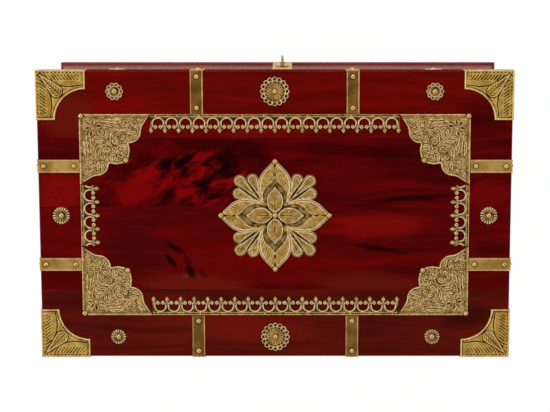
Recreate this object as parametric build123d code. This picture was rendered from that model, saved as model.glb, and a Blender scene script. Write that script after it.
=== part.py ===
from build123d import *
import os
from math import asin, ceil, cos, radians, sin, tan

# A brass-bound hardwood dowry chest: a rabbeted box on a mitred moulding, under a
# shallow hinged lid of edge-glued planks, with embossed brass on the lid and a hasp.
# Millimetres, +Z up, front towards -Y. The origin is at the middle of the underside.
# Left and right are those of a person who stands in front of the chest.

# ---- Lid ----
lid_length = 457.0
lid_depth = 279.0
lid_height = 42.0
top_thickness = 12.0
plank_shares = (23, 24, 29, 24)  # widths of the planks from the front, as parts of the depth
arris = 1.0  # softened outer edge of every board

# ---- Box ----
body_height = 136.0
wall = 12.0
overhang = 4.0  # the lid stands this far out over the walls, all round
lap_share = 0.5  # part of a board's thickness that a corner lap takes
bottom_thickness = 10.0
bottom_lap = 6.0

# ---- Base moulding ----
plinth_height = 26.0
plinth_projection = 8.5
plinth_ledge = 2.6
plinth_step = 1.5
plinth_crown = 1.0
plinth_nosing = 1.4

# ---- Dome nails, pins and the holes for them ----
nail_head_radius = 2.45
nail_head_rise = 1.7
nail_shank_radius = 0.9
nail_length = 8.0
pin_head_radius = 0.9
pin_head_rise = 0.7
pin_shank_radius = 0.4
pin_length = 4.0
small_nail_head_radius = 1.5
small_nail_head_rise = 1.0
small_nail_shank_radius = 0.6
small_nail_length = 7.0
hole_clearance = 0.05

# ---- Sheet brass on the lid ----
sheet = 0.8
frame_margin_x = 40.5  # from the lid's end to the edge of the filigree frame
frame_margin_y = 41.3  # from the lid's front or back to the edge of the filigree frame
frame_nail_inset = 1.8
trim_gap = 0.4  # between neighbouring pieces of brass
cap_leg = 47.0
cap_arm = 17.5
cap_flange = 13.0
cap_pin_inset = 1.6
strap_width = 12.8
strap_drop = 33.0
strap_offset_long = 75.0  # straps on the front and back stand this far from the middle
strap_offset_short = 48.0  # straps on the ends
strap_nail_inset = 5.5
frame_pin_pitch = 22.0

# ---- Filigree corners, lace and medallion ----
filigree_arm = 68.0
filigree_arm_end = 58.7
filigree_arm_depth = 12.2
filigree_lobe = 16.0
filigree_lobe_rise = 2.6
filigree_waist = (47.6, 28.1)
filigree_shoulder = (48.6, 35.2)
cusp_nail_inset = 44.3
cusp_rim = 2.0
lace_rail = 3.2
lace_rail_lap = 0.4  # the arches run this far into the rail
lace_pitch = 13.2
lace_ring_outer = 6.3
lace_ring_inner = 4.6
lace_curl_radius = 1.9
lace_curl_offset = 2.3
lace_curl_depth = 12.2
lace_drop_radius = 2.1
lace_drop_depth = 15.6
lace_drop_tip = 18.3
medallion_reach = 52.5  # nails at the petals' tips
petal_root = 10.6  # where neighbouring petals part, along both axes
petal_half_width = 16.0
petal_belly = 30.0
petal_shoulder = (8.8, 45.6)
petal_tip_half = 2.0
spray_root = 12.0
spray_leaf_lengths = (30.7, 36.7, 30.7)
spray_spread = 22.5
leaf_head_radius = 5.9
leaf_root_half = 1.5

# ---- Rosettes: radius, number of scallops ----
large_rosette = (14.2, 16)
front_rosette = (8.6, 10)
end_rosette = (8.8, 18)
back_rosette = (7.8, 16)
rim_rosette = (8.4, 10)
body_rosette = (14.2, 16)
rosette_lobe_lap = 1.12  # scallops are this much wider than their pitch, so they run into each other
rosette_offset = 153.6  # rosettes near the front and back stand this far from the middle
rosette_inset = 19.6  # from the lid's front or back edge
end_rosette_inset = 21.5
body_rosette_offset = 130.0

# ---- Straps on the box ----
body_strap_joint_gap = 3.0
back_swing_room = 14.0

# ---- Hinges ----
lid_opening = 100.0  # degrees
bevel_spare = 1.0  # degrees by which the back bevel is steeper than the opening needs
hinge_offset = 140.0
hinge_length = 38.0
hinge_knuckles = 5
knuckle_gap = 0.3
leaf_width = 9.0
leaf_thickness = 1.2
leaf_gap = 0.4
barrel_radius = 2.2
barrel_clearance = 0.4
hinge_pin_radius = 1.0
pin_clearance = 0.05
mortise_clearance = 0.1
screw_shank_radius = 0.9
screw_head_radius = 2.0
screw_head_height = 0.8
screw_length = 9.0
screw_inset = 8.0

# ---- Hasp and staple ----
hasp_offset = -6.5  # the hasp's middle, left of the chest's
hasp_width = 19.0
hasp_sheet = 1.0
hasp_knuckle_radius = 1.6
hasp_pin_radius = 0.7
hasp_edge_gap = 0.3  # between the hasp's knuckle and the lid's lower edge
hasp_leaf_height = 20.0
hasp_leaf_setback = 1.2  # flat of a leaf starts this far outside its knuckle
hasp_tilt = 12.0  # degrees that the closed tongue hangs outward
tongue_length = 28.5
tongue_boss_rise = 0.8
tongue_boss_border = 2.3
loop_wire = 2.4
loop_height = 12.4
loop_reach = 13.7  # beyond the lid's front
loop_bend = 3.4
loop_depth_on_tongue = 16.0
slot_side_clearance = 0.8
slot_top_clearance = 0.35
slot_swing_clearance = 0.6
collar_radius = 4.8
collar_gap = 0.3
tang_radius = 1.8
tang_length = 8.0
staple_plate_width = 22.0
staple_plate_height = 26.0
staple_plate_nail_inset = 3.0

# ---- Sizes that follow ----
half_length = lid_length / 2
half_depth = lid_depth / 2
body_half_length = half_length - overhang
body_half_depth = half_depth - overhang
lid_top = body_height + lid_height
rim_top = lid_top - top_thickness
rim_wall = wall + overhang
frame_half_x = half_length - frame_margin_x
frame_half_y = half_depth - frame_margin_y
brass_top = lid_top + sheet

# Each side of the chest is drawn as the front, and then turned about Z by even steps.
SIDE_NAMES = ("front", "right", "back", "left")
SIDES = {side: 360 / len(SIDE_NAMES) * turns for turns, side in enumerate(SIDE_NAMES)}
# Each corner is drawn as the front left one: signs of its place along X and Y, and its turn.
CORNERS = {
    "front_left": (-1, -1, SIDES["front"]),
    "front_right": (1, -1, SIDES["right"]),
    "back_right": (1, 1, SIDES["back"]),
    "back_left": (-1, 1, SIDES["left"]),
}


os.makedirs("parts", exist_ok=True)


def save(name, shape):
    """Write one piece, or a list of like pieces, as a named STEP file."""
    if isinstance(shape, list):
        shape = Compound(children=shape)
    export_step(shape, f"parts/{name}.step")


def block(xs, ys, zs):
    """A square-edged piece between two limits along each axis."""
    limits = (xs, ys, zs)
    size = [high - low for low, high in limits]
    centre = [(high + low) / 2 for low, high in limits]
    return Pos(*centre) * Box(*size)


def rod(start, direction, radius, length):
    """A round rod from a start point along a direction."""
    plane = Plane(origin=start, z_dir=direction)
    return extrude(plane * Circle(radius), amount=length)


def along_x(x_low, x_high, y, z, radius):
    """A round rod along X between two stations."""
    return rod((x_low, y, z), (1, 0, 0), radius, x_high - x_low)


def side_runs(side, long_value, short_value):
    """The value for a long side (front, back) or for a short one (left, right)."""
    return long_value if side in ("front", "back") else short_value


def on_side(side, shape):
    """Turn a shape drawn at the front to another side."""
    return Rot(0, 0, SIDES[side]) * shape


def at_corner(corner, half_x, half_y, z, shape):
    """Place a shape drawn at a corner, with its legs along +X and +Y, on one of four corners."""
    sign_x, sign_y, turn = CORNERS[corner]
    return Pos(sign_x * half_x, sign_y * half_y, z) * Rot(0, 0, turn) * shape


# ---- Nails ----
def headed(head_radius, head_rise, shank_radius, length):
    """A domed nail that points down: its head is a spherical cap on z = 0."""
    ball = (head_radius**2 + head_rise**2) / (2 * head_rise)
    cap = RadiusArc((head_radius, 0), (0, head_rise), -ball)
    outline = Polyline(
        (0, head_rise), (0, -length), (shank_radius, -length), (shank_radius, 0), (head_radius, 0)
    )
    return revolve(Plane.XZ * make_face([cap, outline]), axis=Axis.Z)


class Fastener:
    """A kind of nail: `at` places it with its head on a face and its shank going in."""

    def __init__(self, head_radius, head_rise, shank_radius, length):
        self.pattern = headed(head_radius, head_rise, shank_radius, length)
        self.hole_radius = shank_radius + hole_clearance
        self.hole_depth = length + hole_clearance

    def at(self, seat, out):
        return Placed(self, Vector(*seat), Vector(*out))


class Placed:
    """One nail in its place."""

    def __init__(self, kind, seat, out):
        self.kind = kind
        self.seat = seat
        self.out = out

    def solid(self):
        return Plane(origin=self.seat, z_dir=self.out).location * self.kind.pattern

    def hole(self):
        """The round hole that the shank stands in."""
        return rod(self.seat, -self.out, self.kind.hole_radius, self.kind.hole_depth)

    def reaches(self, box):
        """Whether the shank crosses a box."""
        point = self.seat - self.out * self.kind.hole_depth
        spare = self.kind.hole_radius
        return all(
            min(getattr(self.seat, axis), getattr(point, axis)) - spare < getattr(box.max, axis)
            and max(getattr(self.seat, axis), getattr(point, axis)) + spare > getattr(box.min, axis)
            for axis in "XYZ"
        )


dome_nail = Fastener(nail_head_radius, nail_head_rise, nail_shank_radius, nail_length)
trim_pin = Fastener(pin_head_radius, pin_head_rise, pin_shank_radius, pin_length)
small_nail = Fastener(
    small_nail_head_radius, small_nail_head_rise, small_nail_shank_radius, small_nail_length
)


def drilled(shape, fasteners):
    """Cut the holes of those fasteners whose shanks reach into the shape's box."""
    box = shape.bounding_box()
    holes = [fastener.hole() for fastener in fasteners if fastener.reaches(box)]
    return shape - holes if holes else shape


UP = (0, 0, 1)


def side_out(side):
    """The outward direction of a side."""
    angle = radians(SIDES[side])
    return (sin(angle), -cos(angle), 0)


def side_point(side, x, y, z):
    """A point given in the front's coordinates, turned to a side."""
    angle = radians(SIDES[side])
    return (
        x * cos(angle) - y * sin(angle),
        x * sin(angle) + y * cos(angle),
        z,
    )


# ---- Where the fasteners are ----
lid_nails = []
for side in SIDES:
    reach = side_runs(side, half_depth, half_length)
    offset = side_runs(side, strap_offset_long, strap_offset_short)
    inner = side_runs(side, frame_half_y, frame_half_x) + trim_gap
    for x in (-offset, offset):
        for y in (-(reach - strap_nail_inset), -(inner + strap_nail_inset)):
            lid_nails.append(dome_nail.at(side_point(side, x, y, brass_top), UP))
        for z in (lid_top - strap_nail_inset, lid_top - strap_drop + strap_nail_inset):
            seat = side_point(side, x, -(reach + sheet), z)
            lid_nails.append(dome_nail.at(seat, side_out(side)))

rosette_spots = {
    "large_rosette_front": [(0, -(half_depth - rosette_inset))],
    "large_rosette_back": [(0, half_depth - rosette_inset)],
    "front_rosettes": [
        (-rosette_offset, -(half_depth - rosette_inset)),
        (rosette_offset, -(half_depth - rosette_inset)),
    ],
    "end_rosettes": [
        (-(half_length - end_rosette_inset), 0),
        (half_length - end_rosette_inset, 0),
    ],
    "back_rosettes": [
        (-rosette_offset, half_depth - rosette_inset),
        (rosette_offset, half_depth - rosette_inset),
    ],
}
rosette_kinds = {
    "large_rosette_front": large_rosette,
    "large_rosette_back": large_rosette,
    "front_rosettes": front_rosette,
    "end_rosettes": end_rosette,
    "back_rosettes": back_rosette,
}
for spots in rosette_spots.values():
    for x, y in spots:
        lid_nails.append(dome_nail.at((x, y, brass_top), UP))

rim_rosette_z = body_height + lid_height / 2
for x in (-rosette_offset, rosette_offset):
    lid_nails.append(dome_nail.at((x, -(half_depth + sheet), rim_rosette_z), (0, -1, 0)))

for sign_x, sign_y, _ in CORNERS.values():
    for inset in (frame_nail_inset, cusp_nail_inset):
        x = sign_x * (frame_half_x - inset)
        y = sign_y * (frame_half_y - inset)
        lid_nails.append(dome_nail.at((x, y, brass_top), UP))

tip = medallion_reach
for x, y in ((0, 0), (tip, 0), (-tip, 0), (0, tip), (0, -tip)):
    lid_nails.append(dome_nail.at((x, y, brass_top), UP))

frame_pins = []
for side in SIDES:
    run = side_runs(side, frame_half_x, frame_half_y)
    reach = side_runs(side, frame_half_y, frame_half_x)
    spaces = ceil((2 * run - frame_pin_pitch) / frame_pin_pitch)
    pitch = (2 * run - frame_pin_pitch) / spaces
    for i in range(spaces + 1):
        x = -run + frame_pin_pitch / 2 + i * pitch
        y = -(reach - lace_rail / 2)
        frame_pins.append(trim_pin.at(side_point(side, x, y, brass_top), UP))

cap_arc_radius = cap_leg - cap_arm
for sign_x, sign_y, _ in CORNERS.values():
    for angle in (188, 212, 238, 262):
        along = cap_leg + (cap_arc_radius + cap_pin_inset) * cos(radians(angle))
        across = cap_leg + (cap_arc_radius + cap_pin_inset) * sin(radians(angle))
        x = sign_x * (half_length - along)
        y = sign_y * (half_depth - across)
        frame_pins.append(trim_pin.at((x, y, brass_top), UP))

body_nails = []
for side in SIDES:
    reach = side_runs(side, body_half_depth, body_half_length)
    offset = side_runs(side, strap_offset_long, strap_offset_short)
    joint_gap = back_swing_room if side == "back" else body_strap_joint_gap
    strap_top = body_height - joint_gap
    strap_foot = plinth_height + trim_gap
    heights = (
        strap_foot + strap_nail_inset,
        (strap_foot + strap_top) / 2,
        strap_top - strap_nail_inset,
    )
    for x in (-offset, offset):
        for z in heights:
            seat = side_point(side, x, -(reach + sheet), z)
            body_nails.append(dome_nail.at(seat, side_out(side)))

body_rosette_z = (plinth_height + body_height) / 2
for x in (-body_rosette_offset, body_rosette_offset):
    body_nails.append(dome_nail.at((x, -(body_half_depth + sheet), body_rosette_z), (0, -1, 0)))

# ---- Where the hasp, the staple and the hinges are ----
hasp_axis_y = -(half_depth + hasp_sheet / 2)
hasp_axis_z = body_height - hasp_edge_gap - hasp_knuckle_radius
leaf_foot = hasp_knuckle_radius + hasp_leaf_setback
staple_z = hasp_axis_z - loop_depth_on_tongue * cos(radians(hasp_tilt))
hasp_nails = [
    small_nail.at((hasp_offset + x, -(half_depth + hasp_sheet), hasp_axis_z + z), (0, -1, 0))
    for x in (-hasp_width / 3, hasp_width / 3)
    for z in (leaf_foot + hasp_leaf_height / 3, leaf_foot + hasp_leaf_height * 0.8)
]
plate_x = staple_plate_width / 2 - staple_plate_nail_inset
plate_z = staple_plate_height / 2 - staple_plate_nail_inset
staple_nails = [
    small_nail.at((hasp_offset + x, -(body_half_depth + hasp_sheet), staple_z + z), (0, -1, 0))
    for x in (-plate_x, plate_x)
    for z in (-plate_z, plate_z)
]

hinge_axis = (body_half_depth, body_height)  # Y and Z of the lid's turning axis
hinge_places = (-hinge_offset, hinge_offset)
leaf_near = body_half_depth - barrel_radius - barrel_clearance
leaf_far = leaf_near - leaf_width


def hinge_screws(above):
    """Four screws of the lower (above False) or upper leaves: each is (solid, hole)."""
    way = 1 if above else -1
    face = body_height + way * leaf_gap / 2
    found = []
    for centre in hinge_places:
        for x in (centre - hinge_length / 2 + screw_inset, centre + hinge_length / 2 - screw_inset):
            start = (x, (leaf_near + leaf_far) / 2, face)
            into = (0, 0, way)
            spare = hole_clearance
            solid = rod(start, into, screw_head_radius, screw_head_height)
            solid += rod(start, into, screw_shank_radius, screw_length)
            hole = rod(start, into, screw_head_radius + spare, screw_head_height + spare)
            hole += rod(start, into, screw_shank_radius + spare, screw_length + spare)
            found.append((solid, hole))
    return found


def hinge_pockets():
    """Room cut in the back board and in the lid's back rim for leaves and barrels."""
    spare = mortise_clearance
    depth = leaf_gap / 2 + leaf_thickness + spare
    cuts = []
    for centre in hinge_places:
        low = centre - hinge_length / 2 - spare
        high = centre + hinge_length / 2 + spare
        ys = (leaf_far - spare, body_half_depth)
        cuts.append(block((low, high), ys, (body_height - depth, body_height + depth)))
        cuts.append(along_x(low, high, *hinge_axis, barrel_radius + barrel_clearance))
    return cuts


# ---- Boards of the box and rims of the lid: two long boards lap two short ones ----
def lapped_frame(half_x, half_y, thickness, z_low, z_high):
    """Front and back run the full length; the ends stand in laps cut in them."""
    lap = thickness * lap_share
    boards = {}
    for side in ("front", "back"):
        board = block((-half_x, half_x), (-half_y, -half_y + thickness), (z_low, z_high))
        corners = board.edges().filter_by(Axis.Z).group_by(Axis.Y)[0]
        board = fillet(corners, arris)
        for x in (-half_x, half_x):
            inner = x - thickness if x > 0 else x + thickness
            xs = (min(x, inner), max(x, inner))
            board -= block(xs, (-half_y + lap, -half_y + thickness), (z_low, z_high))
        boards[side] = on_side(side, board)
    for side in ("left", "right"):
        run = half_y - lap
        board = block((-run, run), (-half_x, -half_x + thickness), (z_low, z_high))
        boards[side] = on_side(side, board)
    return boards


inner_half_length = body_half_length - wall
inner_half_depth = body_half_depth - wall
bottom_xs = (-(inner_half_length + bottom_lap), inner_half_length + bottom_lap)
bottom_ys = (-(inner_half_depth + bottom_lap), inner_half_depth + bottom_lap)
bottom_board = block(bottom_xs, bottom_ys, (0, bottom_thickness))
save("bottom_board", bottom_board)

board_names = {
    "front": "front_board",
    "back": "back_board",
    "left": "left_end_board",
    "right": "right_end_board",
}
tang_y = -(body_half_depth + hasp_sheet)
tang_hole = rod(
    (hasp_offset, tang_y, staple_z), (0, 1, 0), tang_radius + hole_clearance, tang_length + hole_clearance
)
for side, board in lapped_frame(body_half_length, body_half_depth, wall, 0, body_height).items():
    board -= bottom_board
    board = drilled(board, body_nails + staple_nails)
    if side == "front":
        board -= tang_hole
    if side == "back":
        board -= hinge_pockets() + [hole for _, hole in hinge_screws(False)]
    save(board_names[side], board)

# The lid's back rim is bevelled under its overhang: the bevel lands on the back board
# when the lid leans back, and stops it.
bevel = radians(lid_opening - 90 + bevel_spare)
bevel_profile = Polyline(
    (body_half_depth, body_height),
    (half_depth, body_height),
    (half_depth, body_height + overhang * tan(bevel)),
    close=True,
)
back_bevel = extrude(
    Plane(origin=(-half_length, 0, 0), x_dir=(0, 1, 0), z_dir=(1, 0, 0)) * make_face(bevel_profile),
    amount=lid_length,
)
for side, rim in lapped_frame(half_length, half_depth, rim_wall, body_height, rim_top).items():
    rim = drilled(rim, lid_nails + hasp_nails)
    if side == "back":
        rim -= back_bevel
        rim -= hinge_pockets() + [hole for _, hole in hinge_screws(True)]
    save(f"lid_rim_{side}", rim)

# ---- Lid planks, edge-glued over the rims ----
lid_slab = block((-half_length, half_length), (-half_depth, half_depth), (rim_top, lid_top))
lid_slab = fillet(lid_slab.edges().filter_by(Axis.Z), arris)
lid_slab = fillet(lid_slab.faces().sort_by(Axis.Z)[-1].edges(), arris * 0.8)
plank_edge = -half_depth
for number, share in enumerate(plank_shares, start=1):
    next_edge = plank_edge + lid_depth * share / sum(plank_shares)
    band = block((-half_length, half_length), (plank_edge, next_edge), (rim_top, lid_top))
    plank = drilled(lid_slab & band, lid_nails + frame_pins)
    save(f"lid_plank_{number}", plank)
    plank_edge = next_edge


# ---- Base moulding, mitred at the corners ----
def moulding(half_run, half_reach):
    """One length of moulding along the front: nosed ledge, step and quarter round."""
    ovolo = plinth_projection - plinth_ledge - plinth_crown
    ledge_z = plinth_height - ovolo - plinth_step
    outer = plinth_projection
    foot = Line((0, 0), (outer, 0))
    face = Line((outer, 0), (outer, ledge_z - plinth_nosing))
    nosing = RadiusArc(
        (outer, ledge_z - plinth_nosing), (outer - plinth_nosing, ledge_z), -plinth_nosing
    )
    ledge = Line((outer - plinth_nosing, ledge_z), (outer - plinth_ledge, ledge_z))
    riser = Line(
        (outer - plinth_ledge, ledge_z), (outer - plinth_ledge, ledge_z + plinth_step)
    )
    quarter = RadiusArc(
        (outer - plinth_ledge, ledge_z + plinth_step), (plinth_crown, plinth_height), -ovolo
    )
    crown = Line((plinth_crown, plinth_height), (0, plinth_height))
    back = Line((0, plinth_height), (0, 0))
    profile = make_face([foot, face, nosing, ledge, riser, quarter, crown, back])
    length = 2 * (half_run + outer)
    plane = Plane(
        origin=(half_run + outer, -half_reach, 0), x_dir=(0, -1, 0), z_dir=(-1, 0, 0)
    )
    bar = extrude(plane * profile, amount=length)
    mitred = Polyline(
        (-half_run, -half_reach),
        (half_run, -half_reach),
        (half_run + outer, -half_reach - outer),
        (-half_run - outer, -half_reach - outer),
        close=True,
    )
    return bar & extrude(make_face(mitred), amount=plinth_height)


for side in SIDES:
    run = side_runs(side, body_half_length, body_half_depth)
    reach = side_runs(side, body_half_depth, body_half_length)
    save(f"plinth_{side}", on_side(side, moulding(run, reach)))


# ---- Corner caps: one sheet folded over the lid's corner ----
def corner_cap():
    """Drawn with the lid's corner at the origin and the lid's top at z = 0."""
    outline = make_face(
        [
            Polyline(
                (cap_arm, cap_leg),
                (-sheet, cap_leg),
                (-sheet, -sheet),
                (cap_leg, -sheet),
                (cap_leg, cap_arm),
            ),
            RadiusArc((cap_leg, cap_arm), (cap_arm, cap_leg), cap_arc_radius),
        ]
    )
    cap = extrude(outline, amount=sheet)
    cap += block((-sheet, cap_leg), (-sheet, 0), (-cap_flange, sheet))
    cap += block((-sheet, 0), (-sheet, cap_leg), (-cap_flange, sheet))
    return cap


for corner in CORNERS:
    cap = at_corner(corner, half_length, half_depth, lid_top, corner_cap())
    save(f"corner_cap_{corner}", drilled(cap, frame_pins))


# ---- Straps over the lid's edges ----
def lid_strap(x, reach, inner):
    """Flat on the lid from the frame to the edge, then down the rim."""
    xs = (x - strap_width / 2, x + strap_width / 2)
    strap = block(xs, (-reach - sheet, -inner), (lid_top, brass_top))
    strap += block(xs, (-reach - sheet, -reach), (lid_top - strap_drop, brass_top))
    return strap


for side in SIDES:
    reach = side_runs(side, half_depth, half_length)
    inner = side_runs(side, frame_half_y, frame_half_x) + trim_gap
    offset = side_runs(side, strap_offset_long, strap_offset_short)
    straps = [on_side(side, lid_strap(x, reach, inner)) for x in (-offset, offset)]
    save(f"lid_straps_{side}", [drilled(strap, lid_nails) for strap in straps])


# ---- Straps and rosettes on the box ----
def body_strap(side, x):
    reach = side_runs(side, body_half_depth, body_half_length)
    joint_gap = back_swing_room if side == "back" else body_strap_joint_gap
    strap = block(
        (x - strap_width / 2, x + strap_width / 2),
        (-reach - sheet, -reach),
        (plinth_height + trim_gap, body_height - joint_gap),
    )
    return drilled(on_side(side, strap), body_nails)


body_strap_groups = {
    "body_straps_front": ("front",),
    "body_straps_back": ("back",),
    "body_straps_ends": ("left", "right"),
}
for name, sides in body_strap_groups.items():
    straps = []
    for side in sides:
        offset = side_runs(side, strap_offset_long, strap_offset_short)
        straps += [body_strap(side, x) for x in (-offset, offset)]
    save(name, straps)


def rosette(kind):
    """A scalloped disc of sheet brass, flat on z = 0."""
    radius, scallops = kind
    lobe_share = rosette_lobe_lap * sin(radians(180 / scallops))
    lobe = radius * lobe_share / (1 + lobe_share)
    outline = Circle(radius - lobe)
    outline += PolarLocations(radius - lobe, scallops) * Circle(lobe)
    return extrude(outline, amount=sheet)


for name, spots in rosette_spots.items():
    discs = [Pos(x, y, lid_top) * rosette(rosette_kinds[name]) for x, y in spots]
    save(name, [drilled(disc, lid_nails) for disc in discs])


def upright_rosette(x, reach, z, kind):
    """A rosette against an upright front face."""
    plane = Plane(origin=(x, -reach, z), x_dir=(1, 0, 0), z_dir=(0, -1, 0))
    return plane * rosette(kind)


rim_discs = [
    upright_rosette(x, half_depth, rim_rosette_z, rim_rosette) for x in (-rosette_offset, rosette_offset)
]
save("rim_rosettes", [drilled(disc, lid_nails) for disc in rim_discs])
body_discs = [
    upright_rosette(x, body_half_depth, body_rosette_z, body_rosette)
    for x in (-body_rosette_offset, body_rosette_offset)
]
save("body_rosettes", [drilled(disc, body_nails) for disc in body_discs])


# ---- Filigree corner plates ----
def filigree_half():
    """The plate's edge from its arm's tip to the cusp, as curves with both legs positive."""
    tip_point = (filigree_arm, 0)
    end_low = (filigree_arm_end + frame_nail_inset, filigree_arm_depth)
    end_high = (end_low[0] - 1.0, filigree_lobe)
    chord_mid = (
        (end_high[0] + filigree_waist[0]) / 2 + filigree_lobe_rise,
        (end_high[1] + filigree_waist[1]) / 2 + filigree_lobe_rise,
    )
    cusp = cusp_nail_inset + cusp_rim
    return [
        Line(tip_point, end_low),
        Line(end_low, end_high),
        ThreePointArc(end_high, chord_mid, filigree_waist),
        Line(filigree_waist, filigree_shoulder),
        Line(filigree_shoulder, (cusp, cusp)),
    ]


def filigree_corner():
    """Drawn with the frame's corner at the origin, mirrored about its diagonal."""
    diagonal = Plane(origin=(0, 0, 0), z_dir=(1, -1, 0))
    half = filigree_half()
    other = [mirror(curve, diagonal) for curve in half]
    legs = Polyline((0, filigree_arm), (0, 0), (filigree_arm, 0))
    return extrude(make_face(half + other + [legs]), amount=sheet)


for corner in CORNERS:
    plate = at_corner(corner, frame_half_x, frame_half_y, lid_top, filigree_corner())
    save(f"filigree_{corner}", drilled(plate, lid_nails + frame_pins))


# ---- Lace strips between the corner plates ----
def lace_drop():
    """A round bead at the origin drawn out to a point along +Y."""
    tip = (0, lace_drop_tip - lace_drop_depth)
    slope = asin(lace_drop_radius / tip[1])
    side = (lace_drop_radius * cos(slope), lace_drop_radius * sin(slope))
    other = (-side[0], side[1])
    bead = ThreePointArc(side, (0, -lace_drop_radius), other)
    return make_face([bead, Polyline(other, tip, side)])


def lace_strip(half_run, reach):
    """A rail with horseshoe arches, cut off at its ends, and drops that point to the lid's middle."""
    count = int(2 * half_run // lace_pitch)
    first_drop = -count * lace_pitch / 2
    rail_y = -reach + lace_rail / 2
    ring_y = -reach + lace_rail + lace_ring_outer - lace_rail_lap
    curl_y = -reach + lace_curl_depth
    drop_y = -reach + lace_drop_depth
    neck_y = ring_y - lace_ring_inner
    ring = Circle(lace_ring_outer) - Circle(lace_ring_inner)
    curl = Circle(lace_curl_radius)
    neck = Rectangle(lace_drop_radius, drop_y - neck_y)
    openwork = [Pos(0, rail_y) * Rectangle(2 * half_run, lace_rail)]
    for i in range(-1, count + 1):
        x = first_drop + (i + 0.5) * lace_pitch
        arch = Sketch() + [Pos(x, ring_y) * ring]
        arch += [Pos(x + way * lace_curl_offset, curl_y) * curl for way in (-1, 1)]
        openwork.append(arch & Pos(0, ring_y) * Rectangle(2 * half_run, 4 * lace_ring_outer))
    for i in range(count + 1):
        x = first_drop + i * lace_pitch
        openwork.append(Pos(x, (neck_y + drop_y) / 2) * neck)
        openwork.append(Pos(x, drop_y) * lace_drop())
    return Pos(0, 0, lid_top) * extrude(Sketch() + openwork, amount=sheet)


for sides in (("front", "back"), ("left", "right")):
    run = side_runs(sides[0], frame_half_x, frame_half_y) - filigree_arm - trim_gap
    reach = side_runs(sides[0], frame_half_y, frame_half_x)
    strip = lace_strip(run, reach)
    for side in sides:
        save(f"lace_strip_{side}", drilled(on_side(side, strip), frame_pins))


# ---- Centre medallion: four pointed petals over sprays of three leaves ----
def petal():
    """One petal along +Y from the medallion's middle to its nail."""
    root = (petal_root, petal_root)
    belly = (petal_half_width, petal_belly)
    flank = (petal_half_width * 0.94, (petal_root + petal_belly) / 2)
    brow = (petal_half_width * 0.87, (petal_belly + petal_shoulder[1]) / 2 + 1)
    half = [
        Line((0, 0), root),
        ThreePointArc(root, flank, belly),
        ThreePointArc(belly, brow, petal_shoulder),
        Line(petal_shoulder, (petal_tip_half, medallion_reach)),
    ]
    other = [mirror(curve, Plane.YZ) for curve in half]
    tip = Line((-petal_tip_half, medallion_reach), (petal_tip_half, medallion_reach))
    return make_face(half + other + [tip])


def leaf(length):
    """One drop-shaped leaf along +X from its root."""
    centre = length - leaf_head_radius
    taper = Polyline(
        (0, -leaf_root_half),
        (centre, -leaf_head_radius),
        (centre, leaf_head_radius),
        (0, leaf_root_half),
        close=True,
    )
    return make_face(taper) + Pos(centre, 0) * Circle(leaf_head_radius)


spray_ways = [Pos(spray_root, spray_root) * Rot(0, 0, 45 + spray_spread * step) for step in (-1, 0, 1)]
spray = Sketch() + [way * leaf(length) for way, length in zip(spray_ways, spray_leaf_lengths)]
# A web fills the sheet between the leaves as far as the middles of their heads.
spray_heads = [
    (way * Pos(length - leaf_head_radius, 0)).position
    for way, length in zip(spray_ways, spray_leaf_lengths)
]
spray += make_face(Polyline((spray_root, spray_root), *spray_heads, close=True))
quarter = petal() + spray
medallion = Sketch() + [Rot(0, 0, 90 * turn) * quarter for turn in range(4)]
centre_medallion = Pos(0, 0, lid_top) * extrude(medallion, amount=sheet)
save("centre_medallion", drilled(centre_medallion, lid_nails))


# ---- Hinges at the back ----
def knuckle_spans(length, count):
    """Start and end of each knuckle of a barrel centred on zero."""
    pitch = (length + knuckle_gap) / count
    return [
        (-length / 2 + i * pitch, -length / 2 + (i + 1) * pitch - knuckle_gap) for i in range(count)
    ]


def hinge_leaf(centre, above):
    """A flat leaf with every other knuckle of the barrel."""
    way = 1 if above else -1
    face = body_height + way * leaf_gap / 2
    back = face + way * leaf_thickness
    zs = (min(face, back), max(face, back))
    leaf_xs = (centre - hinge_length / 2, centre + hinge_length / 2)
    plate = block(leaf_xs, (leaf_far, leaf_near), zs)
    for low, high in knuckle_spans(hinge_length, hinge_knuckles)[1 if above else 0 :: 2]:
        plate += block((centre + low, centre + high), (leaf_near, body_half_depth), zs)
        plate += along_x(centre + low, centre + high, *hinge_axis, barrel_radius)
    bore = along_x(*leaf_xs, *hinge_axis, hinge_pin_radius + pin_clearance)
    holes = [hole for _, hole in hinge_screws(above)]
    return plate - bore - holes


save("hinge_leaves_lower", [hinge_leaf(x, False) for x in hinge_places])
save("hinge_leaves_upper", [hinge_leaf(x, True) for x in hinge_places])
save(
    "hinge_pins",
    [
        along_x(x - hinge_length / 2, x + hinge_length / 2, *hinge_axis, hinge_pin_radius)
        for x in hinge_places
    ],
)
save("hinge_screws_lower", [solid for solid, _ in hinge_screws(False)])
save("hinge_screws_upper", [solid for solid, _ in hinge_screws(True)])


# ---- Hasp: leaf on the lid's rim, pin, and the tongue that hangs over the staple ----
hasp_spans = knuckle_spans(hasp_width, 3)
hasp_xs = (hasp_offset - hasp_width / 2, hasp_offset + hasp_width / 2)


def hasp_half(spans, length):
    """Sheet up from its knuckles: the pin's axis is the origin and the sheet stands along +Z."""
    sheet_ys = (-hasp_sheet / 2, hasp_sheet / 2)
    half = block((-hasp_width / 2, hasp_width / 2), sheet_ys, (leaf_foot, length))
    for low, high in spans:
        half += block((low, high), sheet_ys, (0, leaf_foot))
        half += along_x(low, high, 0, 0, hasp_knuckle_radius)
    return half - along_x(
        -hasp_width / 2, hasp_width / 2, 0, 0, hasp_pin_radius + pin_clearance
    )


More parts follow.
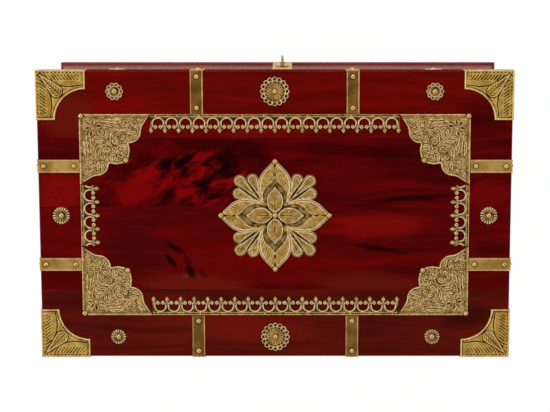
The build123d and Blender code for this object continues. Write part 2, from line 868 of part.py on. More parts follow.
hasp_place = Pos(hasp_offset, hasp_axis_y, hasp_axis_z)
hasp_leaf = hasp_place * hasp_half(hasp_spans[::2], leaf_foot + hasp_leaf_height)
save("hasp_leaf", drilled(hasp_leaf, hasp_nails))
save("hasp_pin", along_x(*hasp_xs, hasp_axis_y, hasp_axis_z, hasp_pin_radius))

# The slot's upper end clears the loop where the closed tongue hangs; its lower end clears
# the loop's outer corner over the whole swing.
tilt = radians(hasp_tilt)
loop_top = loop_depth_on_tongue * cos(tilt) - loop_height / 2
slot_top = loop_top / cos(tilt) - hasp_sheet / 2 * tan(tilt) - slot_top_clearance
bend_outer = loop_bend + loop_wire / 2
corner_y = loop_reach - bend_outer - hasp_sheet / 2
corner_z = loop_top + loop_height - bend_outer
slot_foot = (corner_y**2 + corner_z**2) ** 0.5 + bend_outer + slot_swing_clearance
slot_width = loop_wire + 2 * slot_side_clearance


def upright_slot(width, low, high, thickness):
    """A round-ended slot in a sheet that stands along +Z, cut through or raised along -Y."""
    height = high - low
    plane = Plane(origin=(0, 0, (low + high) / 2), x_dir=(0, 0, 1), z_dir=(0, -1, 0))
    return extrude(plane * SlotOverall(height, width), amount=thickness)


tongue = hasp_half(hasp_spans[1:2], tongue_length)
tongue_corners = tongue.edges().filter_by(Axis.Y).group_by(Axis.Z)[-1]
tongue = fillet(tongue_corners, hasp_width / 4)
boss_low = slot_top - tongue_boss_border
boss_high = slot_foot + tongue_boss_border
boss = upright_slot(
    slot_width + 4 * tongue_boss_border, boss_low, boss_high, hasp_sheet / 2 + tongue_boss_rise
)
boss_floor = hasp_sheet / 2 + tongue_boss_rise
# The tongue hangs down, so its front is +Y while it is drawn standing up.
tongue += Rot(0, 0, 180) * boss
tongue -= Pos(0, boss_floor, 0) * upright_slot(slot_width, slot_top, slot_foot, 2 * boss_floor)
tongue = hasp_place * Rot(180 - hasp_tilt, 0, 0) * tongue
save("hasp_tongue", tongue)

# ---- Staple: a cast eye with a collar, and its plate on the front board ----
plate_ys = (-(body_half_depth + hasp_sheet), -body_half_depth)
staple_plate = block(
    (hasp_offset - staple_plate_width / 2, hasp_offset + staple_plate_width / 2),
    plate_ys,
    (staple_z - staple_plate_height / 2, staple_z + staple_plate_height / 2),
)
staple_plate = fillet(staple_plate.edges().filter_by(Axis.Y), staple_plate_nail_inset)
staple_plate -= tang_hole
save("staple_plate", drilled(staple_plate, staple_nails))

collar_top = loop_depth_on_tongue * cos(tilt) - collar_radius
collar_face = hasp_axis_y - collar_top * tan(tilt) + hasp_sheet / 2 / cos(tilt) + collar_gap
collar_length = collar_face - plate_ys[0]
staple = rod((hasp_offset, plate_ys[0], staple_z), (0, -1, 0), collar_radius, -collar_length)
staple += rod((hasp_offset, plate_ys[0], staple_z), (0, 1, 0), tang_radius, tang_length)
leg = (loop_height - loop_wire) / 2
end_y = -(half_depth + loop_reach - loop_wire / 2)
root_y = (plate_ys[0] + collar_face) / 2
loop_path = FilletPolyline(
    (hasp_offset, root_y, staple_z + leg),
    (hasp_offset, end_y, staple_z + leg),
    (hasp_offset, end_y, staple_z - leg),
    (hasp_offset, root_y, staple_z - leg),
    radius=loop_bend,
)
loop_section = Plane(origin=(hasp_offset, root_y, staple_z + leg), z_dir=(0, -1, 0)) * Circle(
    loop_wire / 2
)
staple += sweep(loop_section, path=loop_path)
save("staple", staple)

# ---- Fasteners, each kind in one group ----
save("lid_nails", [nail.solid() for nail in lid_nails])
save("lid_pins", [pin.solid() for pin in frame_pins])
save("body_nails", [nail.solid() for nail in body_nails])
save("hasp_nails", [nail.solid() for nail in hasp_nails])
save("staple_nails", [nail.solid() for nail in staple_nails])
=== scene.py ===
import math

import bpy
import numpy as np
from mathutils import Matrix, Vector


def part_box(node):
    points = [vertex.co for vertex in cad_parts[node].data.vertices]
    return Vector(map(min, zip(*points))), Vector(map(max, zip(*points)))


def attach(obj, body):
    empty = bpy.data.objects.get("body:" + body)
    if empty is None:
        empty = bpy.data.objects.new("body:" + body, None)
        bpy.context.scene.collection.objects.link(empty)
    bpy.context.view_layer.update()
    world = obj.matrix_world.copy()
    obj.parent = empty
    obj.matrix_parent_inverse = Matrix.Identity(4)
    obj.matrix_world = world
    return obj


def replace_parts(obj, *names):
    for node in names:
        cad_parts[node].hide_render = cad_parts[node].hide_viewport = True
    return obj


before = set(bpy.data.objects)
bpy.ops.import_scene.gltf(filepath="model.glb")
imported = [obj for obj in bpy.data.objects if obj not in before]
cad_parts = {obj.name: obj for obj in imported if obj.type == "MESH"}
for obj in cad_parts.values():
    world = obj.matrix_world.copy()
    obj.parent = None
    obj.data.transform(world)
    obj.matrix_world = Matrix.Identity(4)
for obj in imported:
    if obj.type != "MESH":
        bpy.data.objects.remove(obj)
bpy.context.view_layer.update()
scene = bpy.context.scene

# ---- Studio ----
# The chest stands on a plain pale floor, under four soft boxes and a sky that is dark straight
# above, so that the lid keeps its deep colour. The camera looks down from over the front.
camera_place = Vector((-0.026, -0.1753, 1.442))
camera_aim = Vector((-0.026, -0.0093, 0.178))
lens_mm = 86.2
side_shift = -0.0489  # as a share of the frame's width; it brings the lid back to the middle
forward = (camera_aim - camera_place).normalized()
rightward = forward.cross(Vector((0.0, -1.0, 0.0))).normalized()
camera = bpy.data.objects.new("camera", bpy.data.cameras.new("camera"))
camera.data.lens = lens_mm
camera.data.shift_x = side_shift
camera.matrix_world = Matrix.Translation(camera_place) @ Matrix(
    (rightward, rightward.cross(forward), -forward)
).transposed().to_4x4()
scene.collection.objects.link(camera)
scene.camera = camera
scene.view_settings.view_transform = "Standard"


def linear(code):
    """A colour written as sRGB hex, as linear light: c/12.92 when dark, else ((c+0.055)/1.055)^2.4."""
    parts = [int(code[i : i + 2], 16) / 255 for i in (0, 2, 4)]
    return tuple(c / 12.92 if c < 0.04045 else ((c + 0.055) / 1.055) ** 2.4 for c in parts) + (1.0,)


def add(tree, kind, sockets=None, out=0, stops=(), **settings):
    """Adds one node and returns one of its outputs.

    sockets gives inputs, by name or number, a value or another node's output; stops are the
    (position, colour) pairs of a colour ramp; settings are the node's own properties."""
    node = tree.nodes.new("ShaderNode" + kind)
    for key, value in settings.items():
        setattr(node, key, value)
    for position, colour in stops[2:]:
        node.color_ramp.elements.new(position)
    for k, (position, colour) in enumerate(stops):
        node.color_ramp.elements[k].position = position
        node.color_ramp.elements[k].color = colour
    for key, value in (sockets or {}).items():
        if isinstance(value, bpy.types.NodeSocket):
            tree.links.new(value, node.inputs[key])
        else:
            node.inputs[key].default_value = value
    return node.outputs[out] if len(node.outputs) else node


sky_fade = (0.82, 0.93)  # how straight up a direction points where the sky starts and ends its fade
sky_levels = (0.44, 0.012)
scene.world = bpy.data.worlds.new("studio")
scene.world.use_nodes = True
tree = scene.world.node_tree
tree.nodes.clear()
sky_up = add(tree, "SeparateXYZ", {0: add(tree, "TexCoord", out="Generated")}, out="Z")
sockets = {0: sky_up, 1: sky_fade[0], 2: sky_fade[1], 3: sky_levels[0], 4: sky_levels[1]}
sky_level = add(tree, "MapRange", sockets, interpolation_type="SMOOTHSTEP")
from_camera = add(tree, "LightPath", out="Is Camera Ray")
sky = add(tree, "Mix", {0: from_camera, 2: sky_level, 3: 1.0}, data_type="FLOAT")
backdrop = add(tree, "Background", {"Color": linear("FFFFFF"), "Strength": sky})
add(tree, "OutputWorld", {"Surface": backdrop})

floor_half = 4.0
floor_glow = 1.06
floor_share = 0.9  # part of the floor's brightness that no shadow dims
floor_corners = [(x * floor_half, y * floor_half, 0) for x, y in ((-1, -1), (1, -1), (1, 1), (-1, 1))]
floor_mesh = bpy.data.meshes.new("floor")
floor_mesh.from_pydata(floor_corners, [], [(0, 1, 2, 3)])
floor = bpy.data.objects.new("floor", floor_mesh)
scene.collection.objects.link(floor)
floor_paint = bpy.data.materials.new("pale_floor_paint")
floor_paint.use_nodes = True
tree = floor_paint.node_tree
tree.nodes.clear()
matt = add(tree, "BsdfDiffuse", {"Color": linear("F4F4F4")})
glow = add(tree, "Emission", {"Strength": floor_glow})
seen = add(tree, "LightPath", out="Is Camera Ray")
for kind in ("Is Glossy Ray", "Is Transmission Ray"):
    seen = add(tree, "Math", {0: seen, 1: add(tree, "LightPath", out=kind)}, operation="MAXIMUM")
share = add(tree, "Math", {0: seen, 1: floor_share}, operation="MULTIPLY")
add(tree, "OutputMaterial", {"Surface": add(tree, "MixShader", {0: share, 1: matt, 2: glow})})
floor.data.materials.append(floor_paint)

lamp_reach = 1.7
lamp_rise = 1.25
lamp_side = 1.1
lamps = (("left", 1, 0, 11.0), ("right", -1, 0, 5.0), ("front", 0, -1, 10.0), ("back", 0, 1, 3.5))
for way, x, y, watts in lamps:  # sides as the camera sees them
    light = bpy.data.lights.new(f"softbox_{way}", "AREA")
    light.shape = "SQUARE"
    light.size = lamp_side
    light.energy = watts
    lamp = bpy.data.objects.new(f"softbox_{way}", light)
    lamp.location = (x * lamp_reach, y * lamp_reach, lamp_rise)
    lamp.rotation_euler = (camera_aim - lamp.location).to_track_quat("-Z", "Y").to_euler()
    scene.collection.objects.link(lamp)

# ---- Boards of the box ----
# Straight-grained hardwood, stained red and brushed with glossy lacquer. The front and back boards
# run the full length and lap the end boards; the grain runs along each board.
wood_tones = ("440503", "700805", "900A06")
satin = (0.4, 0.30)
streak_mm = (190, 9, 9)
patch_mm = (85, 30, 30)
grain_mm = (28, 1.3, 1.3)
pore_mm = (8, 0.7, 0.7)
wave_mm = (130, 60, 60)
wave_height = 0.030
bare_wood_roughness = 0.38
arris = 0.0004


def new_tree(name):
    """A new material and its empty node tree."""
    material = bpy.data.materials.new(name)
    material.use_nodes = True
    material.node_tree.nodes.clear()
    return material, material.node_tree


def lumps(tree, place, size_mm, detail=2.0, roughness=0.5, twist=0.0):
    """Soft noise whose lumps are about size_mm long along each axis, drawn out into swirls by twist."""
    scale = tuple(1000.0 / s for s in size_mm)
    stretched = add(tree, "Mapping", {"Vector": place, "Scale": scale})
    sockets = {"Vector": stretched, "Detail": detail, "Roughness": roughness, "Distortion": twist}
    return add(tree, "TexNoise", sockets | {"Scale": 1.0})


def blot(tree, place, centre_mm, half_mm, turn=0.0, ragged=0.5):
    """1 inside an oval on the lid, 0 outside, with an edge broken up by noise."""
    sockets = {
        "Vector": place,
        "Location": (centre_mm[0] / 1000, centre_mm[1] / 1000, 0),
        "Rotation": (0, 0, math.radians(turn)),
        "Scale": (half_mm[0] / 1000, half_mm[1] / 1000, 1.0),
    }
    local = add(tree, "Mapping", sockets, vector_type="TEXTURE")
    far = add(tree, "VectorMath", {0: local}, out="Value", operation="LENGTH")
    rough = lumps(tree, place, (half_mm[0] * 0.5, half_mm[1] * 0.5, 50.0), 3.0, 0.6)
    rough = add(tree, "Math", {0: rough, 1: 0.5}, operation="SUBTRACT")
    far = add(tree, "Math", {0: rough, 1: 2 * ragged, 2: far}, operation="MULTIPLY_ADD")
    return add(tree, "MapRange", {0: far, 1: 1.25, 2: 0.45}, interpolation_type="SMOOTHSTEP")


def lacquered_wood(name, shift, along="x", tones=wood_tones, marks=(), coat=(1.0, 0.07), rubbed=None):
    """Red-stained hardwood: long streaks, fine grain and short dark pores under a coat of lacquer.

    tones are its dark, middle and bright colour; coat gives the lacquer's weight and its roughness;
    beyond y = rubbed (in m) it is worn away."""
    material, tree = new_tree(name)
    place = add(tree, "TexCoord", out="Object")
    turn = math.pi / 2 if along == "y" else 0.0
    board = add(tree, "Mapping", {"Vector": place, "Location": shift, "Rotation": (0, 0, turn)})
    wave = lumps(tree, board, wave_mm, 1.0)
    wave = add(tree, "Math", {0: wave, 1: wave_height}, operation="MULTIPLY")
    sway = add(tree, "CombineXYZ", {"Y": wave})
    grain = add(tree, "VectorMath", {0: board, 1: sway}, operation="ADD")
    streaks = lumps(tree, grain, streak_mm, 3.0, 0.6)
    patches = lumps(tree, board, patch_mm, 2.0)
    fine = lumps(tree, grain, grain_mm, 2.0)
    pores = lumps(tree, grain, pore_mm, 1.0)
    pores = add(tree, "MapRange", {0: pores, 1: 0.60, 2: 0.72}, interpolation_type="SMOOTHSTEP")
    value = 0.0
    for layer, weight in ((patches, 0.34), (streaks, 0.52), (fine, 0.14)):
        value = add(tree, "Math", {0: layer, 1: weight, 2: value}, operation="MULTIPLY_ADD")
    colour = add(tree, "ValToRGB", {0: value}, stops=list(zip((0.36, 0.50, 0.64), map(linear, tones))))
    for mark in marks:
        colour = mark(tree, place, colour)
    share = add(tree, "Math", {0: pores, 1: 0.45}, operation="MULTIPLY")
    colour = add(tree, "Mix", {0: share, 6: colour, 7: linear(tones[0])}, out=2, data_type="RGBA")
    height = add(tree, "Math", {0: pores, 1: -0.6, 2: fine}, operation="MULTIPLY_ADD")
    weight = coat[0]
    if rubbed:
        y = add(tree, "Math", {0: add(tree, "SeparateXYZ", {0: place}, out="Y")}, operation="ABSOLUTE")
        weight = add(tree, "MapRange", {0: y, 1: rubbed - arris, 2: rubbed, 3: weight, 4: 0.0})
    sockets = {
        "Base Color": colour,
        "Roughness": bare_wood_roughness,
        "Specular IOR Level": 0.0,
        "Coat Weight": weight,
        "Coat Roughness": coat[1],
        "Normal": add(tree, "Bump", {"Strength": 0.10, "Distance": 0.0002, "Height": height}),
    }
    add(tree, "OutputMaterial", {"Surface": add(tree, "BsdfPrincipled", sockets)})
    return material


def finish(material, *nodes):
    """Gives CAD nodes a material."""
    for name in nodes:
        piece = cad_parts[name].data
        piece.materials.clear()
        piece.materials.append(material)


finish(lacquered_wood("red_lacquered_board_front", (0.3, 0.1, 0.2), coat=satin), "front_board")
finish(lacquered_wood("red_lacquered_board_back", (0.7, 0.5, 0.4), coat=satin), "back_board")
end_wood = lacquered_wood("red_lacquered_board_ends", (1.1, 0.2, 0.6), "y", coat=satin)
finish(end_wood, "left_end_board", "right_end_board")

# ---- Bottom board ----
# A plain board let into a rebate under the four walls, stained but hardly seen.
finish(lacquered_wood("red_stained_bottom_board", (1.7, 0.9, 0.1)), "bottom_board")

# ---- Base moulding ----
# Four mitred lengths of the same hardwood, with a nosed ledge and a quarter round above it. A pale line
# round the top of the quarter round is a painted highlight.
# The moulding's own red, made paler and pinker than the boards' as a painted reflection of the pale floor
# and sky in its lacquer.
moulding_tones = ("6A221C", "8C3A30", "A04C40")
# Heights between which the moulding's colour is painted pale as a highlight.
highlight_heights = (0.0249, 0.0262)  # m above the floor


def painted_highlight_line(tree, place, under):
    """A painted highlight: the colour is made pale between two heights, round the top of the quarter
    round.
    """
    height = add(tree, "SeparateXYZ", {0: place}, out="Z")
    low, high = highlight_heights
    rise = add(tree, "MapRange", {0: height, 1: low - 0.0002, 2: low + 0.0001})
    fall = add(tree, "MapRange", {0: height, 1: high + 0.0001, 2: high - 0.0002})
    share = add(tree, "Math", {0: rise, 1: fall}, operation="MULTIPLY")
    # The pale colour of the painted highlight.
    return add(tree, "Mix", {0: share, 6: under, 7: linear("B48074")}, out=2, data_type="RGBA")


for run, along, shift, nodes in (
    ("long", "x", (0.2, 1.4, 0.3), ("plinth_front", "plinth_back")),
    ("short", "y", (0.9, 1.9, 0.5), ("plinth_left", "plinth_right")),
):
    wood = lacquered_wood(
        f"red_lacquered_moulding_{run}", shift, along, moulding_tones, [painted_highlight_line], satin
    )
    finish(wood, *nodes)

# ---- Rims of the lid ----
# Four boards under the planks, lapped at the corners like the box.
worn_satin = (0.05, 0.40)
rim_wood = lacquered_wood("red_lacquered_rim_long", (1.3, 0.4, 0.8), coat=worn_satin)
finish(rim_wood, "lid_rim_front", "lid_rim_back")
rim_wood = lacquered_wood("red_lacquered_rim_short", (0.5, 0.8, 1.2), "y", coat=worn_satin)
finish(rim_wood, "lid_rim_left", "lid_rim_right")

# ---- Planks of the lid ----
# Four edge-glued planks, each with its own tone; the back one is browner, partly its own tone and partly
# a painted reflection of the lacquer's milky sheen.
# The second has curly crotch figure, dark and bright by turns across the grain; the third has a pair of
# small knots and dark heart streaks.
stain_black = "160004"
stain_dark = "300003"
figure_stops = ((0.40, stain_black), (0.47, stain_dark), (0.53, "5E040A"), (0.61, "960608"))
flame_mm = (24, 10, 20)


def tint(colour, centre_mm, half_mm, turn=0.0, strength=0.8, ragged=0.5):
    """A mark on a plank: an oval patch of another colour."""

    def lay(tree, place, under):
        mask = blot(tree, place, centre_mm, half_mm, turn, ragged)
        share = add(tree, "Math", {0: mask, 1: strength}, operation="MULTIPLY")
        return add(tree, "Mix", {0: share, 6: under, 7: linear(colour)}, out=2, data_type="RGBA")

    return lay


def crotch_figure(centre_mm, half_mm, lean):
    """A mark on a plank: bright and black flames that lean across the grain."""

    def lay(tree, place, under):
        mask = blot(tree, place, centre_mm, half_mm, 0.0, 0.7)
        sockets = {"Vector": place, "Rotation": (0, 0, math.radians(lean))}
        leaning = add(tree, "Mapping", sockets, vector_type="TEXTURE")
        flames = lumps(tree, leaning, flame_mm, 6.0, 0.62, 0.5)
        stops = [(level, linear(code)) for level, code in figure_stops]
        figure = add(tree, "ValToRGB", {0: flames}, stops=stops)
        return add(tree, "Mix", {0: mask, 6: under, 7: figure}, out=2, data_type="RGBA")

    return lay


plank_looks = (  # tones and marks of each plank, from the front to the back
    (("580704", "740B06", "880D07"), [
        tint("8A0806", (150, -108), (50, 14), 0, 0.5),
        tint("8A0806", (-105, -112), (40, 12), 0, 0.5),
        tint("741E12", (196, -95), (26, 30), 0, 0.6),
        tint(stain_dark, (-180, -92), (45, 6), 3, 0.6),
        tint("480405", (-205, -88), (30, 18), 0, 0.7),
    ]),
    (("3E0405", "5A0506", "780706"), [
        tint("4A0204", (-10, -50), (200, 22), 0, 0.4),
        tint(stain_dark, (45, -60), (60, 14), 0, 0.75),
        crotch_figure((86, -38), (74, 34), 33),
        tint("96060A", (132, -26), (28, 15), 30, 0.85),
        tint("6E0404", (106, -63), (22, 9), 0, 0.8),
        tint("6E0404", (-70, -58), (30, 12), 0, 0.6),
        tint("8A0408", (94, -32), (13, 5), 20, 0.7),
        tint("7E0607", (-12, -63), (26, 10), 0, 0.8),
        tint(stain_dark, (-60, -64), (90, 7), -3, 0.55),
        tint("7A0806", (-60, -40), (60, 12), 5, 0.5),
        tint(stain_black, (-135, -17), (42, 3.2), 4, 0.75),
        tint("96100A", (208, -22), (26, 28), 0, 0.8),
        tint("8E0C08", (-205, -20), (30, 16), 0, 0.6),
    ]),
    (("4E0506", "660706", "820806"), [
        tint("7C0807", (55, 38), (46, 22), 10, 0.5),
        tint("96100A", (-100, 10), (60, 14), 2, 0.7),
        tint("6E0808", (208, 18), (30, 26), 0, 0.6),
        tint("5C0506", (208, 62), (30, 14), 0, 0.7),
        tint("4C080A", (138, 34), (34, 34), 0, 0.6),
        tint("3A0408", (-212, 32), (24, 10), 0, 0.6),
        tint(stain_black, (-78, -14), (20, 4), 4, 0.6),
        tint(stain_black, (-100, 32.4), (30, 3.2), -9, 0.75),
        tint("7E1E10", (80, 70), (60, 14), -3, 0.8),
        tint("741C10", (-92, 66), (60, 12), -3, 0.7),
        tint(stain_black, (97.7, 31.7), (12, 3.2), -32, 0.85),
        tint(stain_black, (101.6, 44), (9.5, 3.4), -54, 0.95, 0.3),
        tint("2A0004", (85.7, 44.8), (7, 3.4), -70, 0.7),
        tint(stain_black, (82.4, 54.8), (7.5, 4.4), -65, 0.95, 0.3),
        tint("962C14", (87, 59.4), (3, 1.6), 20, 0.7, 0.2),
        tint("3A0A06", (70.1, 57.4), (5.5, 3.6), -50, 0.7),
    ]),
    # The back plank: its browner tones are partly its own and partly a painted reflection, the milky
    # sheen of its lacquer.
    (("500F09", "64170D", "78190E"), [
        tint("300A08", (-190, 100), (30, 12), 15, 0.6),
        tint("8A1C10", (15, 112), (70, 16), 0, 0.6),
        tint("4A0E0A", (196, 80), (34, 16), 0, 0.6),
    ]),
)
bare_edge = 0.0003  # m of the lid's front and back edges where no lacquer is left
plank_edge = -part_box("lid_plank_1")[0].y - bare_edge
for number, (tones, marks) in enumerate(plank_looks, start=1):
    shift = (0.37 * number, 0.21 * number, 0.0)
    wood = lacquered_wood(f"red_lacquered_plank_{number}", shift, "x", tones, marks, rubbed=plank_edge)
    finish(wood, f"lid_plank_{number}")

# ---- Hinges ----
# Two brass butt hinges let into the back board and the rim, with drawn steel pins and brass screws.
hollow_reliefs = (0.60, 0.38)  # mm of relief where the patina starts and where it is full
worn_and_highlight_reliefs = (0.95, 1.25)  # and where the rubbed brightness and painted highlight start and are full
nail_shadow_radii = (0.0036, 0.0029)  # m from a nail where the painted shadow starts and where it is full


def metal(name, low, high, roughness, lump_mm=6.0, metallic=1.0, hollow=None, worn_and_highlight=None, shadowed_nails=()):
    """Metal whose tone varies by noise and, on worked sheet, by the height of the relief: low relief
    takes the dark patina colour, high relief a pale colour that is partly rubbed brass and partly a
    painted highlight.

    Rings of painted shadow darken the brass round nails, whose places in mm are alike in the lid's four
    quarters."""
    material, tree = new_tree(name)
    place = add(tree, "TexCoord", out="Object")
    low, high = linear(low), linear(high)
    blotches = lumps(tree, place, (lump_mm,) * 3, 4.0, 0.6)
    share = add(tree, "MapRange", {0: blotches, 1: 0.35, 2: 0.65}, interpolation_type="SMOOTHSTEP")
    colour = add(tree, "Mix", {0: share, 6: low, 7: high}, out=2, data_type="RGBA")
    scratches = lumps(tree, place, (0.5, 0.5, 0.5))
    rough = add(tree, "MapRange", {0: blotches, 1: 0.3, 2: 0.7, 3: roughness - 0.06, 4: roughness + 0.08})
    if hollow:
        worked = add(tree, "Attribute", out="Fac", attribute_name="relief")
        stain = add(tree, "Math", {0: blotches, 1: 0.7, 2: -0.35}, operation="MULTIPLY_ADD")
        worked = add(tree, "Math", {0: worked, 1: stain}, operation="ADD")
        quarter = add(tree, "VectorMath", {0: place}, operation="ABSOLUTE")
        # Painted shadow: the relief value drops in a ring round each nail, so the brass there takes the
        # dark hollow colour.
        for nail in shadowed_nails:
            spot = tuple(c / 1000 for c in nail)
            far = add(tree, "VectorMath", {0: quarter, 1: spot}, out="Value", operation="DISTANCE")
            nail_shadow = add(tree, "MapRange", {0: far, 1: nail_shadow_radii[0], 2: nail_shadow_radii[1], 3: 0.0, 4: -0.5})
            worked = add(tree, "Math", {0: worked, 1: nail_shadow}, operation="ADD")
        # The high relief takes the pale colour: partly rubbed brass, partly a painted highlight.
        share = add(tree, "MapRange", {0: worked, 1: worn_and_highlight_reliefs[0], 2: worn_and_highlight_reliefs[1]})
        colour = add(tree, "Mix", {0: share, 6: colour, 7: linear(worn_and_highlight)}, out=2, data_type="RGBA")
        share = add(tree, "MapRange", {0: worked, 1: hollow_reliefs[0], 2: hollow_reliefs[1]})
        colour = add(tree, "Mix", {0: share, 6: colour, 7: linear(hollow)}, out=2, data_type="RGBA")
        rough = add(tree, "Math", {0: share, 1: 0.2, 2: rough}, operation="MULTIPLY_ADD")
        metallic = add(tree, "MapRange", {0: share, 1: 0.0, 2: 1.0, 3: metallic, 4: 0.1})
    sockets = {
        "Base Color": colour,
        "Metallic": metallic,
        "Roughness": rough,
        "Specular IOR Level": 0.1,
        "Normal": add(tree, "Bump", {"Strength": 0.15, "Distance": 0.0001, "Height": scratches}),
    }
    add(tree, "OutputMaterial", {"Surface": add(tree, "BsdfPrincipled", sockets)})
    return material


hinge_brass = metal("drawn_hinge_brass", "9A7A40", "C2A060", 0.34)
finish(hinge_brass, "hinge_leaves_lower", "hinge_leaves_upper")
finish(metal("turned_brass_screw", "B08C4C", "CFAE6C", 0.28, 2.0),
       "hinge_screws_lower", "hinge_screws_upper")
finish(metal("drawn_steel_wire", "77787A", "A0A2A4", 0.3, 2.0), "hinge_pins", "hasp_pin")

# ---- Filigree corner plates ----
# Sheet brass chased from the back with flowers, leaves and scrolls. The hollows keep a brown
# patina and the high lines are rubbed bright, with a painted highlight on them. Each is held by two dome
# nails and small pins.


def corners(node):
    """A node's lowest and highest corners at rest, in mm."""
    return [1000 * np.array(corner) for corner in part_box(node)]


lid_top = corners("lid_plank_2")[1][2]
sheet = 0.8
sides = {"front": 0, "right": 90, "back": 180, "left": 270}
corner_ways = {
    "front_left": (-1, -1, 0),
    "front_right": (1, -1, 90),
    "back_right": (1, 1, 180),
    "back_left": (-1, 1, 270),
}
embossed_brass = metal("chased_sheet_brass", "AE8640", "C69E50", 0.42, 5.0, 0.45, "38240E", "FCE2B4")
relief_pitch = 0.40
crease_degrees = 50.0


def grid_faces(rows, columns):
    """Two triangles for each cell of a grid whose points are numbered row by row."""
    index = np.arange(rows * columns).reshape(rows, columns)
    low, high = index[:-1], index[1:]
    a, b, c, d = (part.ravel() for part in (low[:, :-1], low[:, 1:], high[:, 1:], high[:, :-1]))
    return np.concatenate([np.stack([a, b, c], 1), np.stack([a, c, d], 1)])


def backed(faces, here, after, count):
    """The triangles of a face, of its back, count points on, and of the walls between their edges."""
    walls = [np.stack([here, after, after + count], 1), np.stack([here, after + count, here + count], 1)]
    return np.concatenate([faces, faces[:, ::-1] + count, *walls])


def emboss(shape, low, high, pitch=relief_pitch):
    """Sheet worked in relief, as points, triangles and relief values.

    shape(x, y) gives each grid point's distance inside the outline, the height of its relief and, if
    the sheet is also domed, the rise of the dome, in mm. Points near the outline slide onto it down the
    distance's slope; triangles whose middle lies outside are dropped. A flat back and walls close it."""
    columns = np.arange(low[0] - pitch, high[0] + 2 * pitch, pitch)
    rows = np.arange(low[1] - pitch, high[1] + 2 * pitch, pitch)
    x, y = (grid.ravel() for grid in np.meshgrid(columns, rows))
    inside = shape(x, y)[0]
    step = pitch / 4
    slope_x = (shape(x + step, y)[0] - shape(x - step, y)[0]) / (2 * step)
    slope_y = (shape(x, y + step)[0] - shape(x, y - step)[0]) / (2 * step)
    near = np.abs(inside) < 0.6 * pitch
    slide = np.where(near, inside / np.maximum(slope_x**2 + slope_y**2, 0.3), 0.0)
    x = x - slide * slope_x
    y = y - slide * slope_y
    triangles = grid_faces(len(rows), len(columns))
    triangles = triangles[(near | (inside > 0))[triangles].all(1)]
    middle = shape(x[triangles].mean(1), y[triangles].mean(1))[0]
    used, flat = np.unique(triangles[middle > 0], return_inverse=True)
    triangles = flat.reshape(-1, 3)
    x, y = x[used], y[used]
    height, *dome_rise = shape(x, y)[1:]
    count = len(used)
    starts = triangles.ravel()
    ends = triangles[:, [1, 2, 0]].ravel()
    free = ~np.isin(starts * count + ends, ends * count + starts)
    triangles = backed(triangles, ends[free], starts[free], count)
    top = np.stack([x, y, height + sum(dome_rise)], 1)
    return np.concatenate([top, top * (1, 1, 0)]), triangles, np.concatenate([height, np.zeros(count)])


def brass_piece(name, parts, material, body="lid"):
    """One named piece from (points in mm, triangles, relief values), set in place and smoothed."""
    points, triangles, relief = zip(*parts)
    starts = np.cumsum([0] + [len(part) for part in points])
    triangles = np.concatenate([part + start for part, start in zip(triangles, starts)])
    points = np.concatenate(points) / 1000
    mesh = bpy.data.meshes.new(name)
    mesh.vertices.add(len(points))
    mesh.vertices.foreach_set("co", points.astype(np.float32).ravel())
    mesh.loops.add(triangles.size)
    mesh.loops.foreach_set("vertex_index", triangles.astype(np.int32).ravel())
    mesh.polygons.add(len(triangles))
    mesh.polygons.foreach_set("loop_start", np.arange(0, triangles.size, 3, dtype=np.int32))
    mesh.update(calc_edges=True)
    mesh.validate()
    mesh.shade_smooth()
    mesh.set_sharp_from_angle(angle=math.radians(crease_degrees))
    marks = mesh.attributes.new("relief", "FLOAT", "POINT")
    marks.data.foreach_set("value", np.concatenate(relief).astype(np.float32))
    mesh.materials.append(material)
    piece = bpy.data.objects.new(name, mesh)
    scene.collection.objects.link(piece)
    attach(piece, body)
    return piece


def turned(degrees):
    """The matrix of a turn about Z."""
    c, s = math.cos(math.radians(degrees)), math.sin(math.radians(degrees))
    return np.array([[c, -s, 0.0], [s, c, 0.0], [0.0, 0.0, 1.0]])


def placed(part, matrix, shift):
    """A part turned or mirrored by a matrix and then moved, in mm."""
    points, triangles, relief = part
    if np.linalg.det(matrix) < 0:
        triangles = triangles[:, ::-1]
    return points @ matrix.T + np.array(shift, float), triangles, relief


def ridge(distance, width):
    """A rounded line in relief: 1 on the line, falling as a bell over its half width."""
    return np.exp(-((distance / width) ** 2))


def bead(distance, low, rise, place, half):
    """The height across an edge: low, and higher by rise on a line that runs at a place in from it."""
    return low + rise * ridge(distance - place, half)


def from_line(x, y, start, end):
    """Distance from a straight line between two points, and how far along it, from 0 to 1."""
    run = np.subtract(end, start)
    share = np.clip(((x - start[0]) * run[0] + (y - start[1]) * run[1]) / (run @ run), 0, 1)
    return np.hypot(x - start[0] - share * run[0], y - start[1] - share * run[1]), share


line_pitch = 2.2
line_half = 0.56
line_rise = 0.92
hollow_height = 0.42
ground_share = 0.8  # the lines of the ground are this much as high as those of the figures
blade_rim = 0.45
boss_radius = 1.9
boss_ring = 1.25


def raised_line(distance, share=1.0):
    """The height of a chased line and of the hollows beside it."""
    return hollow_height + share * line_rise * ridge(distance, line_half)


def scroll(x, y, centre, radius):
    """Distance from a spiral whose turns are one pitch apart, inside a radius."""
    far = np.hypot(x - centre[0], y - centre[1])
    turn = np.arctan2(y - centre[1], x - centre[0]) / (2 * np.pi) - 1 / 4
    away = np.abs(np.mod(far / line_pitch - turn + 0.5, 1.0) - 0.5) * line_pitch
    return np.where(far < radius, away, np.maximum(far - radius, away))


def lay_over(field, outside, own):
    """Lays a figure and the groove round it over the relief.

    field is the relief so far and each point's distance from the nearest figure."""
    height, nearest = field
    return np.where(outside < line_pitch / 4, own, height), np.minimum(nearest, outside)


